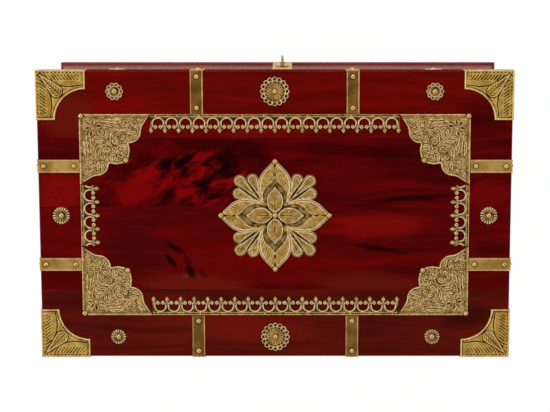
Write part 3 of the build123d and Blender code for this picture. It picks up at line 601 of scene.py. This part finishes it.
def blade(field, x, y, start, end, bow, width):
    """A long leaf: raised rims that meet at its ends, round a hollow.

    Its midrib runs from start to end and bows aside as a parabola; its half width follows a sine."""
    run = np.subtract(end, start)
    length = np.hypot(*run)
    along = ((x - start[0]) * run[0] + (y - start[1]) * run[1]) / length
    across = ((y - start[1]) * run[0] - (x - start[0]) * run[1]) / length
    share = np.clip(along / length, 0, 1)
    half = width / 2 * np.sin(np.pi * share) ** 0.7
    outside = np.hypot(across - 4 * bow * share * (1 - share), along - share * length) - half
    return lay_over(field, outside, raised_line(outside + blade_rim))


def flower(field, x, y, centre, radius, headings, width):
    """Petals round a pierced boss."""
    for heading in headings:
        way = np.array([math.cos(math.radians(heading)), math.sin(math.radians(heading))])
        root, tip = np.array(centre) + 0.2 * radius * way, np.array(centre) + radius * way
        field = blade(field, x, y, root, tip, 0.0, width)
    far = np.hypot(x - centre[0], y - centre[1])
    return lay_over(field, far - boss_radius, raised_line(far - boss_ring))


nail_seat = 2.5
seat_ring = 0.7


def seat(height, far):
    """Flattens the sheet under a nail's head and sinks a ring round it."""
    sunk = np.where(far < nail_seat, sheet, hollow_height)
    return np.where(far < nail_seat + seat_ring, sunk, height)


def bowed(start, end, rise, count=8):
    """Points on a circular arc from start to end: it bows by rise to the right of the chord."""
    half = math.dist(start, end) / 2
    along = np.subtract(end, start) / (2 * half)
    out = np.array([along[1], -along[0]])
    radius = (half**2 + rise**2) / (2 * rise)
    heart = np.add(start, end) / 2 - out * (radius - rise)
    spread = math.asin(min(1.0, half / abs(radius)))
    turns = np.linspace(-spread, spread, count + 1)
    return [tuple(heart + radius * math.cos(t) * out + abs(radius) * math.sin(t) * along) for t in turns]


def within(x, y, outline):
    """Distance inside a closed outline of straight edges: to the nearest edge, negative outside.

    A point is inside if a ray along +x crosses the outline an odd number of times."""
    nearest = np.full(x.shape, 1e9)
    odd = np.zeros(x.shape, bool)
    for start, end in zip(outline, outline[1:] + outline[:1]):
        nearest = np.minimum(nearest, from_line(x, y, start, end)[0])
        if start[1] != end[1]:
            cross = start[0] + (y - start[1]) * (end[0] - start[0]) / (end[1] - start[1])
            odd ^= ((y < start[1]) != (y < end[1])) & (x < cross)
    return np.where(odd, nearest, -nearest)


plate_tip = 68.0
plate_end = (60.5, 12.2)
plate_lobe = (59.5, 16.0)
plate_waist = (47.6, 28.1)
plate_shoulder = (48.6, 35.2)
plate_cusp = 46.3
lobe_rise = 3.7
half_edge = [(plate_tip, 0.0), plate_end, *bowed(plate_lobe, plate_waist, lobe_rise)]
half_edge += [plate_shoulder, (plate_cusp, plate_cusp)]
plate_outline = [(0.0, 0.0)] + half_edge + [(q, p) for p, q in half_edge[-2::-1]]
plate_margin = 3.3
plate_rim = (hollow_height, 0.90, 0.9, 0.72)  # height, rise, place and half width, for bead
plate_nails = (1.8, 44.3)  # both stand on the diagonal, this far along each leg
plate_blades = (  # start, end, bow and width of each leaf; the other half of the plate mirrors them
    ((17.0, 11.0), (32.5, 13.2), -2.8, 3.3),
    ((19.5, 7.4), (38.0, 9.6), -2.2, 3.3),
    ((25.0, 4.9), (41.0, 5.6), -0.8, 2.8),
    ((30.0, 24.0), (43.0, 15.6), -3.2, 3.3),
    ((28.0, 22.0), (35.8, 13.0), -2.4, 3.2),
    ((31.6, 27.4), (44.6, 19.6), -4.4, 3.0),
    ((38.0, 30.6), (46.8, 31.4), -0.6, 3.0),
    ((41.4, 27.2), (47.0, 26.6), -0.8, 2.8),
    ((45.4, 18.2), (54.8, 17.0), 0.4, 3.2),
    ((47.6, 22.4), (56.2, 20.8), 0.5, 3.2),
    ((52.6, 13.8), (63.0, 4.4), -0.3, 3.2),
    ((53.6, 8.2), (58.6, 4.6), -0.4, 2.8),
    ((43.2, 32.6), (47.0, 39.4), 0.0, 2.8),
    ((3.9, 3.9), (10.2, 6.4), -0.9, 2.8),
    ((29.6, 27.8), (30.6, 17.4), 0.8, 3.1),
    ((25.8, 24.2), (26.0, 14.8), 0.7, 3.1),
    ((22.0, 20.6), (21.6, 14.0), 0.5, 2.9),
)
plate_scrolls = (((41.6, 22.0), 2.3), ((34.6, 26.4), 3.3))
plate_stem = ((33.6, 33.6), (16.6, 16.6), 0.0, 3.2)
plate_flowers = (  # centre, reach, the petals' headings and their width
    ((13.2, 13.2), 9.6, (-88, -18, 225, 175, 120, 104), 4.6),
    ((46.2, 10.8), 6.5, range(0, 360, 60), 3.4),
    ((36.8, 36.6), 7.2, range(-15, 345, 60), 3.7),
)


def filigree(x, y):
    """The plate drawn from the frame's corner, its legs along +x and +y, mirrored on the diagonal.

    The ground between the figures is filled with lines that run round them, one pitch apart."""
    p, q = np.maximum(x, y), np.minimum(x, y)
    inside = within(x, y, plate_outline)
    field = (np.full(x.shape, hollow_height), np.full(x.shape, 9.0))
    for leaf in plate_blades:
        field = blade(field, p, q, *leaf)
    for centre, reach in plate_scrolls:
        whorl = raised_line(scroll(p, q, centre, reach))
        field = lay_over(field, np.hypot(p - centre[0], q - centre[1]) - reach - 0.5, whorl)
    field = blade(field, p, q, *plate_stem)
    for bloom in plate_flowers:
        field = flower(field, p, q, *bloom)
    height, nearest = field
    beat = np.mod(nearest - 0.8 * line_pitch + line_pitch / 2, line_pitch) - line_pitch / 2
    height = np.where(nearest > line_pitch / 4, raised_line(beat, ground_share), height)
    # The plain margin along the outer edges and the rim along the scalloped one.
    margin = bead(q, 0.78, 0.46, 0.6, 0.5) - 0.36 * ridge(q - 2.9, 0.5)
    height = np.where(q < plate_margin, margin, height)
    free_edge = np.where(q < plate_margin, 9.0, inside)
    height = np.where(free_edge < 2.3, bead(free_edge, *plate_rim), height)
    for nail in plate_nails:
        height = seat(height, np.hypot(x - nail, y - nail))
    return inside, height


def corner_places(node):
    """Name, turn and place of each of the lid's corners, from the lowest corner of a node, in mm."""
    x, y, _ = corners(node)[0]
    for name, (sign_x, sign_y, turn) in corner_ways.items():
        yield name, turned(turn), (-sign_x * x, -sign_y * y, lid_top)


plate = emboss(filigree, (0.0, 0.0), (plate_tip, plate_tip))
for corner, way, spot in corner_places("filigree_front_left"):
    piece = brass_piece(f"chased_plate_{corner}", [placed(plate, way, spot)], embossed_brass)
    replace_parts(piece, f"filigree_{corner}")

# ---- Lace strips ----
# Pierced strips of cast brass between the corner plates: a channelled rail, horseshoe arches with two
# curls in each mouth, and a bead between neighbours. Small pins hold the rail.
rail = 3.2
rail_line = (0.4, 0.7)  # the bright lines' places, in from the rail's outer and its inner edge
arch_pitch = 13.2
arch_radius = 5.45
arch_depth = 9.1
arch_half_wire = 0.85
mouth_depth = 12.4
curl_place = (2.3, 12.2)
curl_radius = 1.1
curl_half_wire = 0.8
drop_depth = 15.6
drop_radius = 2.1
drop_tip = 16.9
drop_tip_radius = 1.4
neck_depth = 10.5
neck_radius = 0.9
web_depth = 11.0
lace_height = 0.40
lace_grid = 0.36
trim_gap = 0.4


def dome(share):
    """Height of a half-round bar at a share of its half width in from its edge."""
    return np.sqrt(np.clip(1 - (1 - np.clip(share, 0, 1)) ** 2, 0, 1))


def taper(x, y, start, end, radius_start, radius_end):
    """Distance inside a bar whose radius changes evenly between two round ends."""
    far, share = from_line(x, y, start, end)
    return radius_start + (radius_end - radius_start) * share - far


def lace(x, y, half_run):
    """The shape of a strip along x whose rail starts at y = 0, cut off at half_run to each side."""
    count = int(2 * half_run // arch_pitch)
    first_drop = -count * arch_pitch / 2
    cell = np.mod(x - first_drop, arch_pitch) - arch_pitch / 2
    place = np.clip(np.round((x - first_drop) / arch_pitch), 0, count)
    beside = np.abs(x - first_drop - place * arch_pitch)
    ends = half_run - np.abs(x)
    in_rail = np.minimum(rail / 2 - np.abs(y - rail / 2), ends)
    in_arch = arch_half_wire - np.abs(np.hypot(cell, y - arch_depth) - arch_radius)
    in_arch = np.where((y > mouth_depth) & (np.abs(cell) < curl_place[0]), -1.0, in_arch)
    in_arch = np.minimum(in_arch, ends)
    to_curl = np.hypot(np.abs(cell) - curl_place[0], y - curl_place[1])
    in_curl = np.minimum(curl_half_wire - np.abs(to_curl - curl_radius), ends)
    in_web = np.minimum(np.hypot(cell, y - arch_depth) - arch_radius, web_depth - y)
    in_web = np.minimum(np.minimum(in_web, ends), y - rail + 0.5)
    neck = taper(beside, y, (0, neck_depth), (0, drop_depth), neck_radius, drop_radius * 0.6)
    drop = taper(beside, y, (0, drop_depth), (0, drop_tip), drop_radius, drop_tip_radius)
    in_drop = np.maximum(neck, drop)
    lines = ridge(y - rail_line[0], 0.40) + ridge(y - rail + rail_line[1], 0.40)
    height = hollow_height + 0.85 * lines
    for bar, half, rise in (
        (in_web, 9.0, 0.0), (in_arch, arch_half_wire, 0.95),
        (in_curl, curl_half_wire, 0.95), (in_drop, drop_radius, 0.80),
    ):
        own = np.maximum(np.where(y < rail, height, 0.0), lace_height + rise * dome(bar / half))
        height = np.where(bar > -0.3, own, height)
    return np.maximum.reduce([in_rail, in_arch, in_curl, in_web, in_drop]), height


frame_half = (-corners("lace_strip_left")[0][0], -corners("lace_strip_front")[0][1])
for long_way, pair in enumerate((("front", "back"), ("left", "right"))):
    half_run = frame_half[long_way] - plate_tip - trim_gap
    reach = frame_half[1 - long_way]
    low, high = (-half_run - 2, 0), (half_run + 2, drop_tip + drop_tip_radius)
    strip = emboss(lambda x, y: lace(x, y, half_run), low, high, lace_grid)
    for side in pair:
        way = turned(sides[side])
        shift = way @ np.array([0.0, -reach, 0.0]) + np.array([0.0, 0.0, lid_top])
        piece = brass_piece(f"pierced_lace_{side}", [placed(strip, way, shift)], embossed_brass)
        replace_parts(piece, f"lace_strip_{side}")

# ---- Centre medallion ----
# One sheet raised into four pointed petals over four sprays of three leaves. Each petal is a broad
# hatched band round a darker one and a veined inner petal; five dome nails hold it.


def mirrored_outline(before, start, arcs, after=()):
    """A closed outline: points, arcs joined end to end, more points, and all mirrored across y = 0.

    An arc is given as its end, its rise and the number of its parts."""
    curve = []
    for end, rise, count in arcs:
        curve += bowed(start, end, rise, count)[1 if curve else 0 :]
        start = end
    half = [*before, *curve, *after]
    return half + [(x, -y) for x, y in half[::-1] if y > 0.001]


petal_tip = (52.5, 2.0)
petal_outline = mirrored_outline(
    [(0, 0)], (10.6, 10.6), [((30.0, 16.0), -1.68, 8), ((45.6, 8.8), -1.8, 8)], [petal_tip]
)
ogive_outline = mirrored_outline(
    [(0, 0)], (6.5, 6.5), [((19.5, 11.4), -1.3, 6), ((29.0, 6.2), -1.0, 6), ((36.2, 0.0), 0.6, 6)]
)
inner_outline = mirrored_outline(
    [], (2.6, 0.0), [((14.5, 7.9), -2.4, 6), ((24.0, 3.4), -1.1, 6), ((28.8, 0.0), 0.35, 4)]
)
medallion_nails = (0.0, petal_tip[0])  # how far out along a petal
spray_root = 12.0
spray_leaves = ((22.5, 30.7), (45.0, 36.7))  # heading and length of a side leaf and the middle one
spray_rim = (0.34, 0.95, 0.40, 0.40)
stalk_line = (0.5, 0.7, 0.0, 0.5)
ogive_rim = (0.75, 0.55, -0.95, 0.42)
leaf_head = 5.9
leaf_root = 1.5
leaf_margin = 1.1
leaf_start = 9.5
leaf_dome = 0.8
petal_dome = 0.9
hatch_pitch = 2.3
hatch_lean = 0.25
dot_pitches = (2.3, 2.9)
worked_height = 0.96  # of the hammered faces between the cuts


def spray(r, t):
    """Distance inside the three leaves and the sheet between them, their relief and their domes."""
    root = (spray_root, spray_root)
    leaves = []
    for heading, length in spray_leaves:
        way = np.array([math.cos(math.radians(heading)), math.sin(math.radians(heading))])
        leaves.append((way, length, tuple(root + (length - leaf_head) * way)))
    sheet_inside = within(r, t, [root, *(head for _, _, head in leaves)])
    for _, _, head in leaves:
        sheet_inside = np.maximum(sheet_inside, taper(r, t, root, head, leaf_root, leaf_head))
    height = bead(sheet_inside, *spray_rim)
    rise = np.zeros(r.shape)
    for way, length, head in leaves:
        start = root + leaf_start * way
        body = taper(r, t, start, head, 0.7, leaf_head - leaf_margin)
        along = (r - spray_root) * way[0] + (t - spray_root) * way[1]
        across = np.abs((t - spray_root) * way[0] - (r - spray_root) * way[1])
        slit = ridge(across, 0.65) * (along > leaf_start + 3) * (along < length - leaf_head)
        ticks = ridge(across - 2.1, 0.6) * (along > length - 10) * (along < length - 4.5)
        own = bead(body, worked_height, 0.40, 0.5, 0.55) - 0.64 * slit - 0.52 * ticks
        height = np.where(body > -0.45, np.where(body > 0, own, 0.36), height)
        rise = np.maximum(rise, leaf_dome * dome(body / leaf_head))
        stalk = from_line(r, t, root, start)[0]
        height = np.where((stalk < 0.9) & (body < 0), bead(stalk, *stalk_line), height)
    return sheet_inside, height, rise


def medallion(x, y):
    """Drawn about its middle, alike in all eight half quarters: r runs along a petal, t across it."""
    r = np.maximum(np.abs(x), np.abs(y))
    t = np.minimum(np.abs(x), np.abs(y))
    in_spray, height, rise = spray(r, t)
    in_petal = within(r, t, petal_outline)
    in_ogive = within(r, t, ogive_outline)
    in_inner = within(r, t, inner_outline)
    # The broad outer band: two bright lines along its edge, hatching that meets in a crease.
    hatch = np.clip(np.sin(2 * np.pi * (t - hatch_lean * (r - 30)) / hatch_pitch) + 0.1, 0, 1)
    band = worked_height - 0.50 * hatch * np.clip(in_petal - 2.2, 0, 1)
    band = band - 0.55 * ridge(t, 0.55) * (r > 35) - 0.42 * ridge(in_petal - 1.05, 0.4) * (r > 15)
    band = band + 0.55 * (ridge(in_petal - 1.9, 0.45) + ridge(in_petal - 0.3, 0.4))
    # The darker band inside an ogee, with fine lines that follow its edge.
    band = np.where(in_ogive > 0, 0.51 + 0.13 * np.sin(2 * np.pi * in_ogive / 1.9), band)
    band = np.where(np.abs(in_ogive) < 0.5, hollow_height, band)
    band = np.where((in_ogive < -0.4) & (in_ogive > -1.6), bead(in_ogive, *ogive_rim), band)
    # The inner petal: a rim, a raised middle, three short veins and punched dots.
    veins = ridge(t, 0.75) * (r < 17) + ridge(t - 1.7 - 0.2 * (r - 5), 0.6) * (r < 12.5)
    dots = np.sin(2 * np.pi * (r + t) / dot_pitches[0]) * np.sin(2 * np.pi * (r - 2 * t) / dot_pitches[1])
    inner = bead(in_inner, worked_height, 0.44, 0.5, 0.5) - 0.66 * veins * (r > 5)
    inner = inner - 1.1 * np.clip(dots - 0.55, 0, 1) * (in_inner > 1.6)
    band = np.where(in_inner > -0.8, 0.38, band)
    band = np.where(in_inner > 0.0, inner, band)
    # Neighbouring petals part along the diagonals.
    band = band - 0.5 * ridge((r - t) / 2**0.5, 0.7) * (r < 14)
    height = np.where(in_petal > -0.4, np.maximum(band, 0.3), height)
    swell = np.maximum(dome((in_petal - 1) / 7) * (in_ogive < 0), dome(in_inner / 8))
    swell = petal_dome * swell * np.clip((-in_ogive + 1) / 3 + 9 * (in_inner > 0), 0, 1)
    rise = np.where(in_petal > -0.4, swell, rise)
    for nail in medallion_nails:
        far = np.hypot(r - nail, t)
        height = seat(height, far)
        rise = rise * np.clip((far - nail_seat - seat_ring) / 2, 0, 1)
    return np.maximum(in_spray, in_petal), height, rise


raised_brass = metal("raised_sheet_brass", "C0964A", "D8B05E", 0.40, 5.0, 0.45, "38240E", "FCE4B8")
part = placed(emboss(medallion, (-petal_tip[0],) * 2, (petal_tip[0],) * 2), turned(0), (0, 0, lid_top))
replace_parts(brass_piece("raised_medallion", [part], raised_brass), "centre_medallion")

# ---- Rosettes ----
# Small scalloped discs of chased brass, each under a dome nail. The two large ones, at the middle of
# the front and of the back, are pierced round their edge.
lobe_lap = 1.12  # how much wider than their pitch the scallops are
wire_half = 0.64
rosette_grid = 0.34
scallop_rim = (0.36, 1.00, 0.5, 0.55)
disc_ring = (0.46, 0.90, 5.2, 0.5)
disc_edge = 6.1


def scallops(x, y, radius, count):
    """Distance from the middle, a scallop's radius, the distance inside the scallops' outline, and
    places along and across the nearest scallop."""
    far = np.hypot(x, y)
    share = lobe_lap * math.sin(math.pi / count)
    lobe = radius * share / (1 + share)
    turn = np.mod(np.arctan2(y, x) + np.pi / count, 2 * np.pi / count) - np.pi / count
    along, aside = far * np.cos(turn), far * np.sin(turn)
    in_lobe = lobe - np.hypot(along - radius + lobe, aside)
    return far, lobe, np.maximum(radius - lobe - far, in_lobe), along, aside


def pierced_rosette(x, y, radius, count):
    """Loops round a ring, a row of dark notches between spokes, and petals round the nail."""
    far, lobe, _, along, aside = scallops(x, y, radius, count)
    to_lobe = np.hypot(along - radius + lobe, aside)
    in_loop = wire_half - np.abs(to_lobe - lobe + wire_half)
    ring = 0.73 * radius
    in_disc = ring + 0.5 - far
    spoke = ridge(np.abs(aside) - np.pi * far / count, 0.5)
    petals = 0.36 + 0.68 * dome(1 - np.abs(aside) / (0.62 * np.pi * far / count + 0.2))
    height = np.where(far < 0.57 * radius, petals, 0.36 + 0.85 * spoke)
    height = np.maximum(height, bead(far, 0.38, 0.92, ring, 0.5))
    height = np.where(in_disc < 0, 0.45 + 0.85 * dome(in_loop / wire_half), height)
    return np.maximum(in_disc, in_loop), seat(height, far)


def scalloped_rosette(x, y, radius, count):
    """A scalloped rim, a dark channel, and a plain disc with a ring round the nail."""
    far, _, inside, _, _ = scallops(x, y, radius, count)
    height = np.where(far < disc_edge, bead(far, *disc_ring), bead(inside, *scallop_rim))
    return inside, seat(height, far)


def daisy_rosette(x, y, radius, count):
    """Narrow bright petals that stand apart on a dark scalloped disc."""
    far, lobe, inside, along, aside = scallops(x, y, radius, count)
    wide = 0.68 * lobe
    in_petal = taper(along, np.abs(aside), (0.52 * radius, 0), (radius - lobe, 0), 0.35, wide)
    height = np.where(far < 0.5 * radius, 0.51, 0.38 + 0.97 * dome(in_petal / wide))
    return inside, seat(height, far)


rosette_kinds = {  # how each is worked, its radius and its number of scallops
    "large_rosette_front": (pierced_rosette, 14.2, 16),
    "large_rosette_back": (pierced_rosette, 14.2, 16),
    "front_rosettes": (scalloped_rosette, 8.6, 10),
    "end_rosettes": (daisy_rosette, 8.8, 18),
    "back_rosettes": (daisy_rosette, 7.8, 16),
    "rim_rosettes": (scalloped_rosette, 8.4, 10),
    "body_rosettes": (pierced_rosette, 14.2, 16),
}
upright = np.array([[1, 0, 0], [0, 0, -1], [0, 1, 0]])
for node, (kind, radius, count) in rosette_kinds.items():
    disc = emboss(lambda x, y: kind(x, y, radius, count), (-radius,) * 2, (radius,) * 2, rosette_grid)
    low_corner, high_corner = corners(node)
    standing = node in ("rim_rosettes", "body_rosettes")
    middle = (low_corner + high_corner) / 2
    out = (high_corner - low_corner)[0] / 2 - radius
    parts = []
    for way in (-1, 1) if out > radius else (0,):
        if standing:
            parts.append(placed(disc, upright, (way * out, high_corner[1], middle[2])))
        else:
            parts.append(placed(disc, turned(0), (middle[0] + way * out, middle[1], lid_top)))
    body = "chest" if node == "body_rosettes" else "lid"
    piece = brass_piece(f"chased_{node}", parts, embossed_brass, body)
    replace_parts(piece, node)

# ---- Corner caps ----
# One sheet folded over each corner of the lid, chased with feathers that start at the corner and a
# leaf between them. Its edges are turned over a wire, and small pins hold the curved one.
cap_leg = 47.0
cap_arm = 17.5
cap_flange = 13.0
cap_bow = 8.64
cap_outline = [(-sheet, -sheet), (cap_leg, -sheet)] + bowed(
    (cap_leg, cap_arm), (cap_arm, cap_leg), -cap_bow, 16
) + [(-sheet, cap_leg)]
cap_face = 0.94
cap_cut = 0.74  # how deep the cuts are
cap_rim = (0.36, 0.98, 0.9, 0.74)
flange_rim = (0.45, 0.80, 0.8, 0.6)
fold_margin = 2.4
feather_pitch = 3.1
feather_inset = 6.4  # the row's middle, in from the fold
feather_half = 3.0
boundary = bowed((7.0, 5.4), (32.0, 15.0), -2.3, 6) + [(43.4, 13.6)]
cap_leaf_head = (19.3, 19.3)
cap_leaf_root = (3.6, 3.6)
cap_leaf_radius = 5.8
cap_brass = metal("chased_bright_brass", "CE9E46", "E6BC5E", 0.42, 7.0, 0.45, "38240C", "FCE0B0")


def strokes(along, across, pitch, lean, half_length, width):
    """Short slanted cuts in a row along a line: 1 in a cut, 0 between."""
    beat = np.mod((along + lean * across) / pitch, 1.0) - 0.5
    fade = np.clip((half_length - np.abs(across)) / 0.5, 0, 1)
    return ridge(beat * pitch, width) * fade


def cap_top(x, y):
    """The cap from above, its corner at the origin and its legs along +x and +y."""
    p, q = np.maximum(x, y), np.minimum(x, y)
    inside = within(x, y, cap_outline)
    # A feather along each leg: a row of strokes, and the curve that bounds it.
    feather = strokes(p, q - feather_inset, feather_pitch, -0.8, feather_half, 0.84) * (p > 8) * (p < 42)
    line = np.minimum.reduce([from_line(p, q, a, b)[0] for a, b in zip(boundary, boundary[1:])])
    height = cap_face - cap_cut * (feather + ridge(line, 0.85))
    # The drop-shaped leaf on the diagonal, with a long slit and slanted strokes.
    leaf = taper(x, y, cap_leaf_root, cap_leaf_head, 0.4, cap_leaf_radius)
    along = (x + y - 2 * cap_leaf_root[0]) / 2**0.5
    across = np.abs(x - y) / 2**0.5
    veins = strokes(along, across - 2.7, 3.0, 1.0, 1.9, 0.8) * (along > 9)
    veins = veins + ridge(across, 0.75) * (along > 5)
    own = bead(leaf, worked_height, 0.30, 0.5, 0.5) - cap_cut * veins * (leaf > 0.9)
    height = np.where(leaf > -1.1, np.where(leaf > 0, own, 0.36), height)
    # Small cuts that follow the scalloped edge.
    nicks = strokes((x - y) / 2**0.5, inside - 4.2, 2.6, 0.5, 0.9, 0.45) * (inside > 3) * (inside < 5.4)
    height = height - 0.50 * nicks * (leaf < -1.2) * (p < 36)
    # Rims: a wire along the scalloped edge and the ends, a notched roll along the folds.
    free_edge = np.where(q < fold_margin, cap_leg - p, inside)
    height = np.where(free_edge < 2.9, bead(free_edge, *cap_rim), height)
    notch = np.clip(1.2 * np.sin(2 * np.pi * p / 3.6) + 0.8, 0, 1)
    roll = bead(q, 0.86, 0.46, -0.2, 0.6) - 0.66 * notch * ridge(q - 1.5, 0.7)
    return inside, np.where((q < fold_margin) & (p < cap_leg - 1.6), roll, height)


def cap_side(x, y):
    """One folded side: x along the leg, y down the rim."""
    rim = np.minimum(cap_leg - x, cap_flange - y)
    rows = strokes(x, y - feather_inset, feather_pitch, -0.9, feather_half, 0.62)
    rows = rows * (x > 3) * (x < cap_leg - 4)
    height = 0.84 - 0.5 * rows - 0.42 * (ridge(y - 2.2, 0.45) + ridge(y - cap_flange + 2.6, 0.45))
    inside = np.minimum(rim, np.minimum(x + sheet, y))
    return inside, np.where(rim < 1.9, bead(rim, *flange_rim), height)


cap_plate = emboss(cap_top, (-sheet, -sheet), (cap_leg, cap_leg))
flange = emboss(cap_side, (-sheet, 0.0), (cap_leg, cap_flange))
along_front = np.array([[1, 0, 0], [0, 0, -1], [0, -1, 0]])
along_end = np.array([[0, 0, -1], [1, 0, 0], [0, -1, 0]])
cap_parts = [placed(flange, way, (0, 0, 0)) for way in (along_front, along_end)] + [cap_plate]
for corner, way, spot in corner_places("lid_rim_front"):
    parts = [placed(part, way, spot) for part in cap_parts]
    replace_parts(brass_piece(f"folded_cap_{corner}", parts, cap_brass), f"corner_cap_{corner}")

# ---- Straps ----
# Strips of sheet brass with a beaded edge: bent over the lid's edge, and flat on the box in line with
# them. Each has dome nails near its ends, with rings of painted shadow round them on the lid.
strap_width = 12.8
strap_nail_inset = 5.5
strap_face = 0.50
strap_bead = (0.0, 0.45, 0.6, 0.45)
bend_inside = 0.5
strap_columns = 21
strap_rows = 6


def strap(path, normals):
    """A section carried along a path in the y-z plane: rows of the back and of the face, closed.

    The sheet rises from rounded edges to a bead along each and is flat between them."""
    across = np.linspace(-strap_width / 2, strap_width / 2, strap_columns)
    edge = strap_width / 2 - np.abs(across)
    thick = strap_face + 0.30 * dome(edge / 0.4) + bead(edge, *strap_bead)
    rows = len(path)
    x = np.tile(across, (rows, 1))
    back = np.stack([x, *(np.repeat(path[:, k : k + 1], strap_columns, 1) for k in (0, 1))], -1)
    lift = np.stack([np.zeros_like(x), *(normals[:, k : k + 1] * thick for k in (0, 1))], -1)
    points = np.concatenate([(back + lift).reshape(-1, 3), back.reshape(-1, 3)])
    index = np.arange(x.size).reshape(x.shape)
    edges = np.concatenate([index[0], index[1:, -1], index[-1, -2::-1], index[-2:0:-1, 0]])
    faces = grid_faces(*x.shape)[:, ::-1]
    relief = np.concatenate([np.tile(thick, rows), np.zeros(x.size)])
    return points, backed(faces, edges, np.roll(edges, -1), x.size), relief


def bent_path(inner, reach, top, foot):
    """Along the lid to its edge, round the bend and down the rim, with the way out at each place."""
    heart = (-(reach - bend_inside), top - bend_inside)
    turns = np.linspace(0, np.pi / 2, 9)
    out = np.stack([-np.sin(turns), np.cos(turns)], 1)
    flat = np.linspace(-inner, heart[0], strap_rows)[:-1]
    down = np.linspace(heart[1], foot, strap_rows)[1:]
    flat = np.stack([flat, np.full(len(flat), top)], 1)
    down = np.stack([np.full(len(down), -reach), down], 1)
    path = np.concatenate([flat, heart + bend_inside * out, down])
    up, ahead = (np.tile(way, (strap_rows - 1, 1)) for way in ((0, 1), (-1, 0)))
    return path, np.concatenate([up, out, ahead])


def straight_path(reach, high, low):
    """Down a wall, with the way out at each place."""
    path = np.stack([np.full(strap_rows, -reach), np.linspace(high, low, strap_rows)], 1)
    return path, np.tile((-1, 0), (strap_rows, 1))


def strap_places(node, long_way):
    """How far a node's straps stand to each side, and how far out they start and end."""
    low_corner, high_corner = corners(node)
    offset = (high_corner - low_corner)[long_way] / 2 - strap_width / 2
    return offset, *np.sort(np.abs([low_corner[1 - long_way], high_corner[1 - long_way]]))


def strap_pair(blank, side, offset):
    """Two straps on one side of the chest, at the same distance from its middle."""
    way = turned(sides[side])
    return [placed(blank, way, way @ np.array([sign * offset, 0.0, 0.0])) for sign in (-1, 1)]


# Places round which the straps' brass gets rings of painted shadow.
def nail_shadow_spots(side, long_way):
    """Places of the nails in the lid's straps on a side, in the quarter where x and y are positive."""
    offset, inner, outer = strap_places(f"lid_straps_{side}", long_way)
    spots = [(offset, y, lid_top) for y in (inner + strap_nail_inset, outer - sheet - strap_nail_inset)]
    return [(y, x, z) for x, y, z in spots] if long_way else spots


# Two copies of the straps' brass, lit and shaded: the front and back straps get a darker one as painted
# shade and the end straps a brighter one as painted light, standing in for what each side reflects.
lit_and_shaded_strap_brass = (
    metal("shaded_sheet_brass", "9A6C30", "BC8846", 0.40, 14.0, 0.7, "3C2A12", "E8BC80",
          nail_shadow_spots("front", 0)),
    metal("lit_sheet_brass", "C8984A", "E8BA68", 0.40, 14.0, 0.5, "4A3418", "F6D09C",
          nail_shadow_spots("right", 1)),
)
for side in sides:
    long_way = 0 if side in ("front", "back") else 1
    offset, inner, outer = strap_places(f"lid_straps_{side}", long_way)
    foot = corners(f"lid_straps_{side}")[0][2]
    blank = strap(*bent_path(inner, outer - sheet, lid_top, foot))
    parts = strap_pair(blank, side, offset)
    piece = brass_piece(f"bent_straps_{side}", parts, lit_and_shaded_strap_brass[long_way])
    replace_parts(piece, f"lid_straps_{side}")

body_strap_sides = {
    "body_straps_front": ("front",),
    "body_straps_back": ("back",),
    "body_straps_ends": ("left", "right"),
}
for node, where in body_strap_sides.items():
    long_way = 1 if node == "body_straps_ends" else 0
    offset, inner, outer = strap_places(node, long_way)
    low_corner, high_corner = corners(node)
    blank = strap(*straight_path(outer - sheet, high_corner[2], low_corner[2]))
    parts = [part for side in where for part in strap_pair(blank, side, offset)]
    piece = brass_piece(f"flat_{node}", parts, lit_and_shaded_strap_brass[long_way], "chest")
    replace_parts(piece, node)

# ---- Nails and pins ----
# Domed brass nails, rubbed bright, and small brass pins along the frame and the caps.
nail_brass = metal("polished_brass_nail", "D8AC60", "F4D294", 0.26, 3.0, 0.6)
finish(nail_brass, "lid_nails", "lid_pins", "hasp_nails", "staple_nails")
finish(metal("dulled_brass_nail", "6E4A28", "8A6438", 0.4, 3.0, 0.6), "body_nails")

# ---- Hasp and staple ----
# The hasp's leaf and slotted tongue are cut from thicker sheet; the staple's eye is cast with its
# collar and stands on a plate on the front board.
hasp_brass = metal("filed_sheet_brass", "B4884A", "D2A868", 0.32, 5.0)
finish(hasp_brass, "hasp_leaf", "hasp_tongue", "staple_plate")
finish(metal("cast_brass", "A88848", "CDAE6C", 0.28, 4.0), "staple")
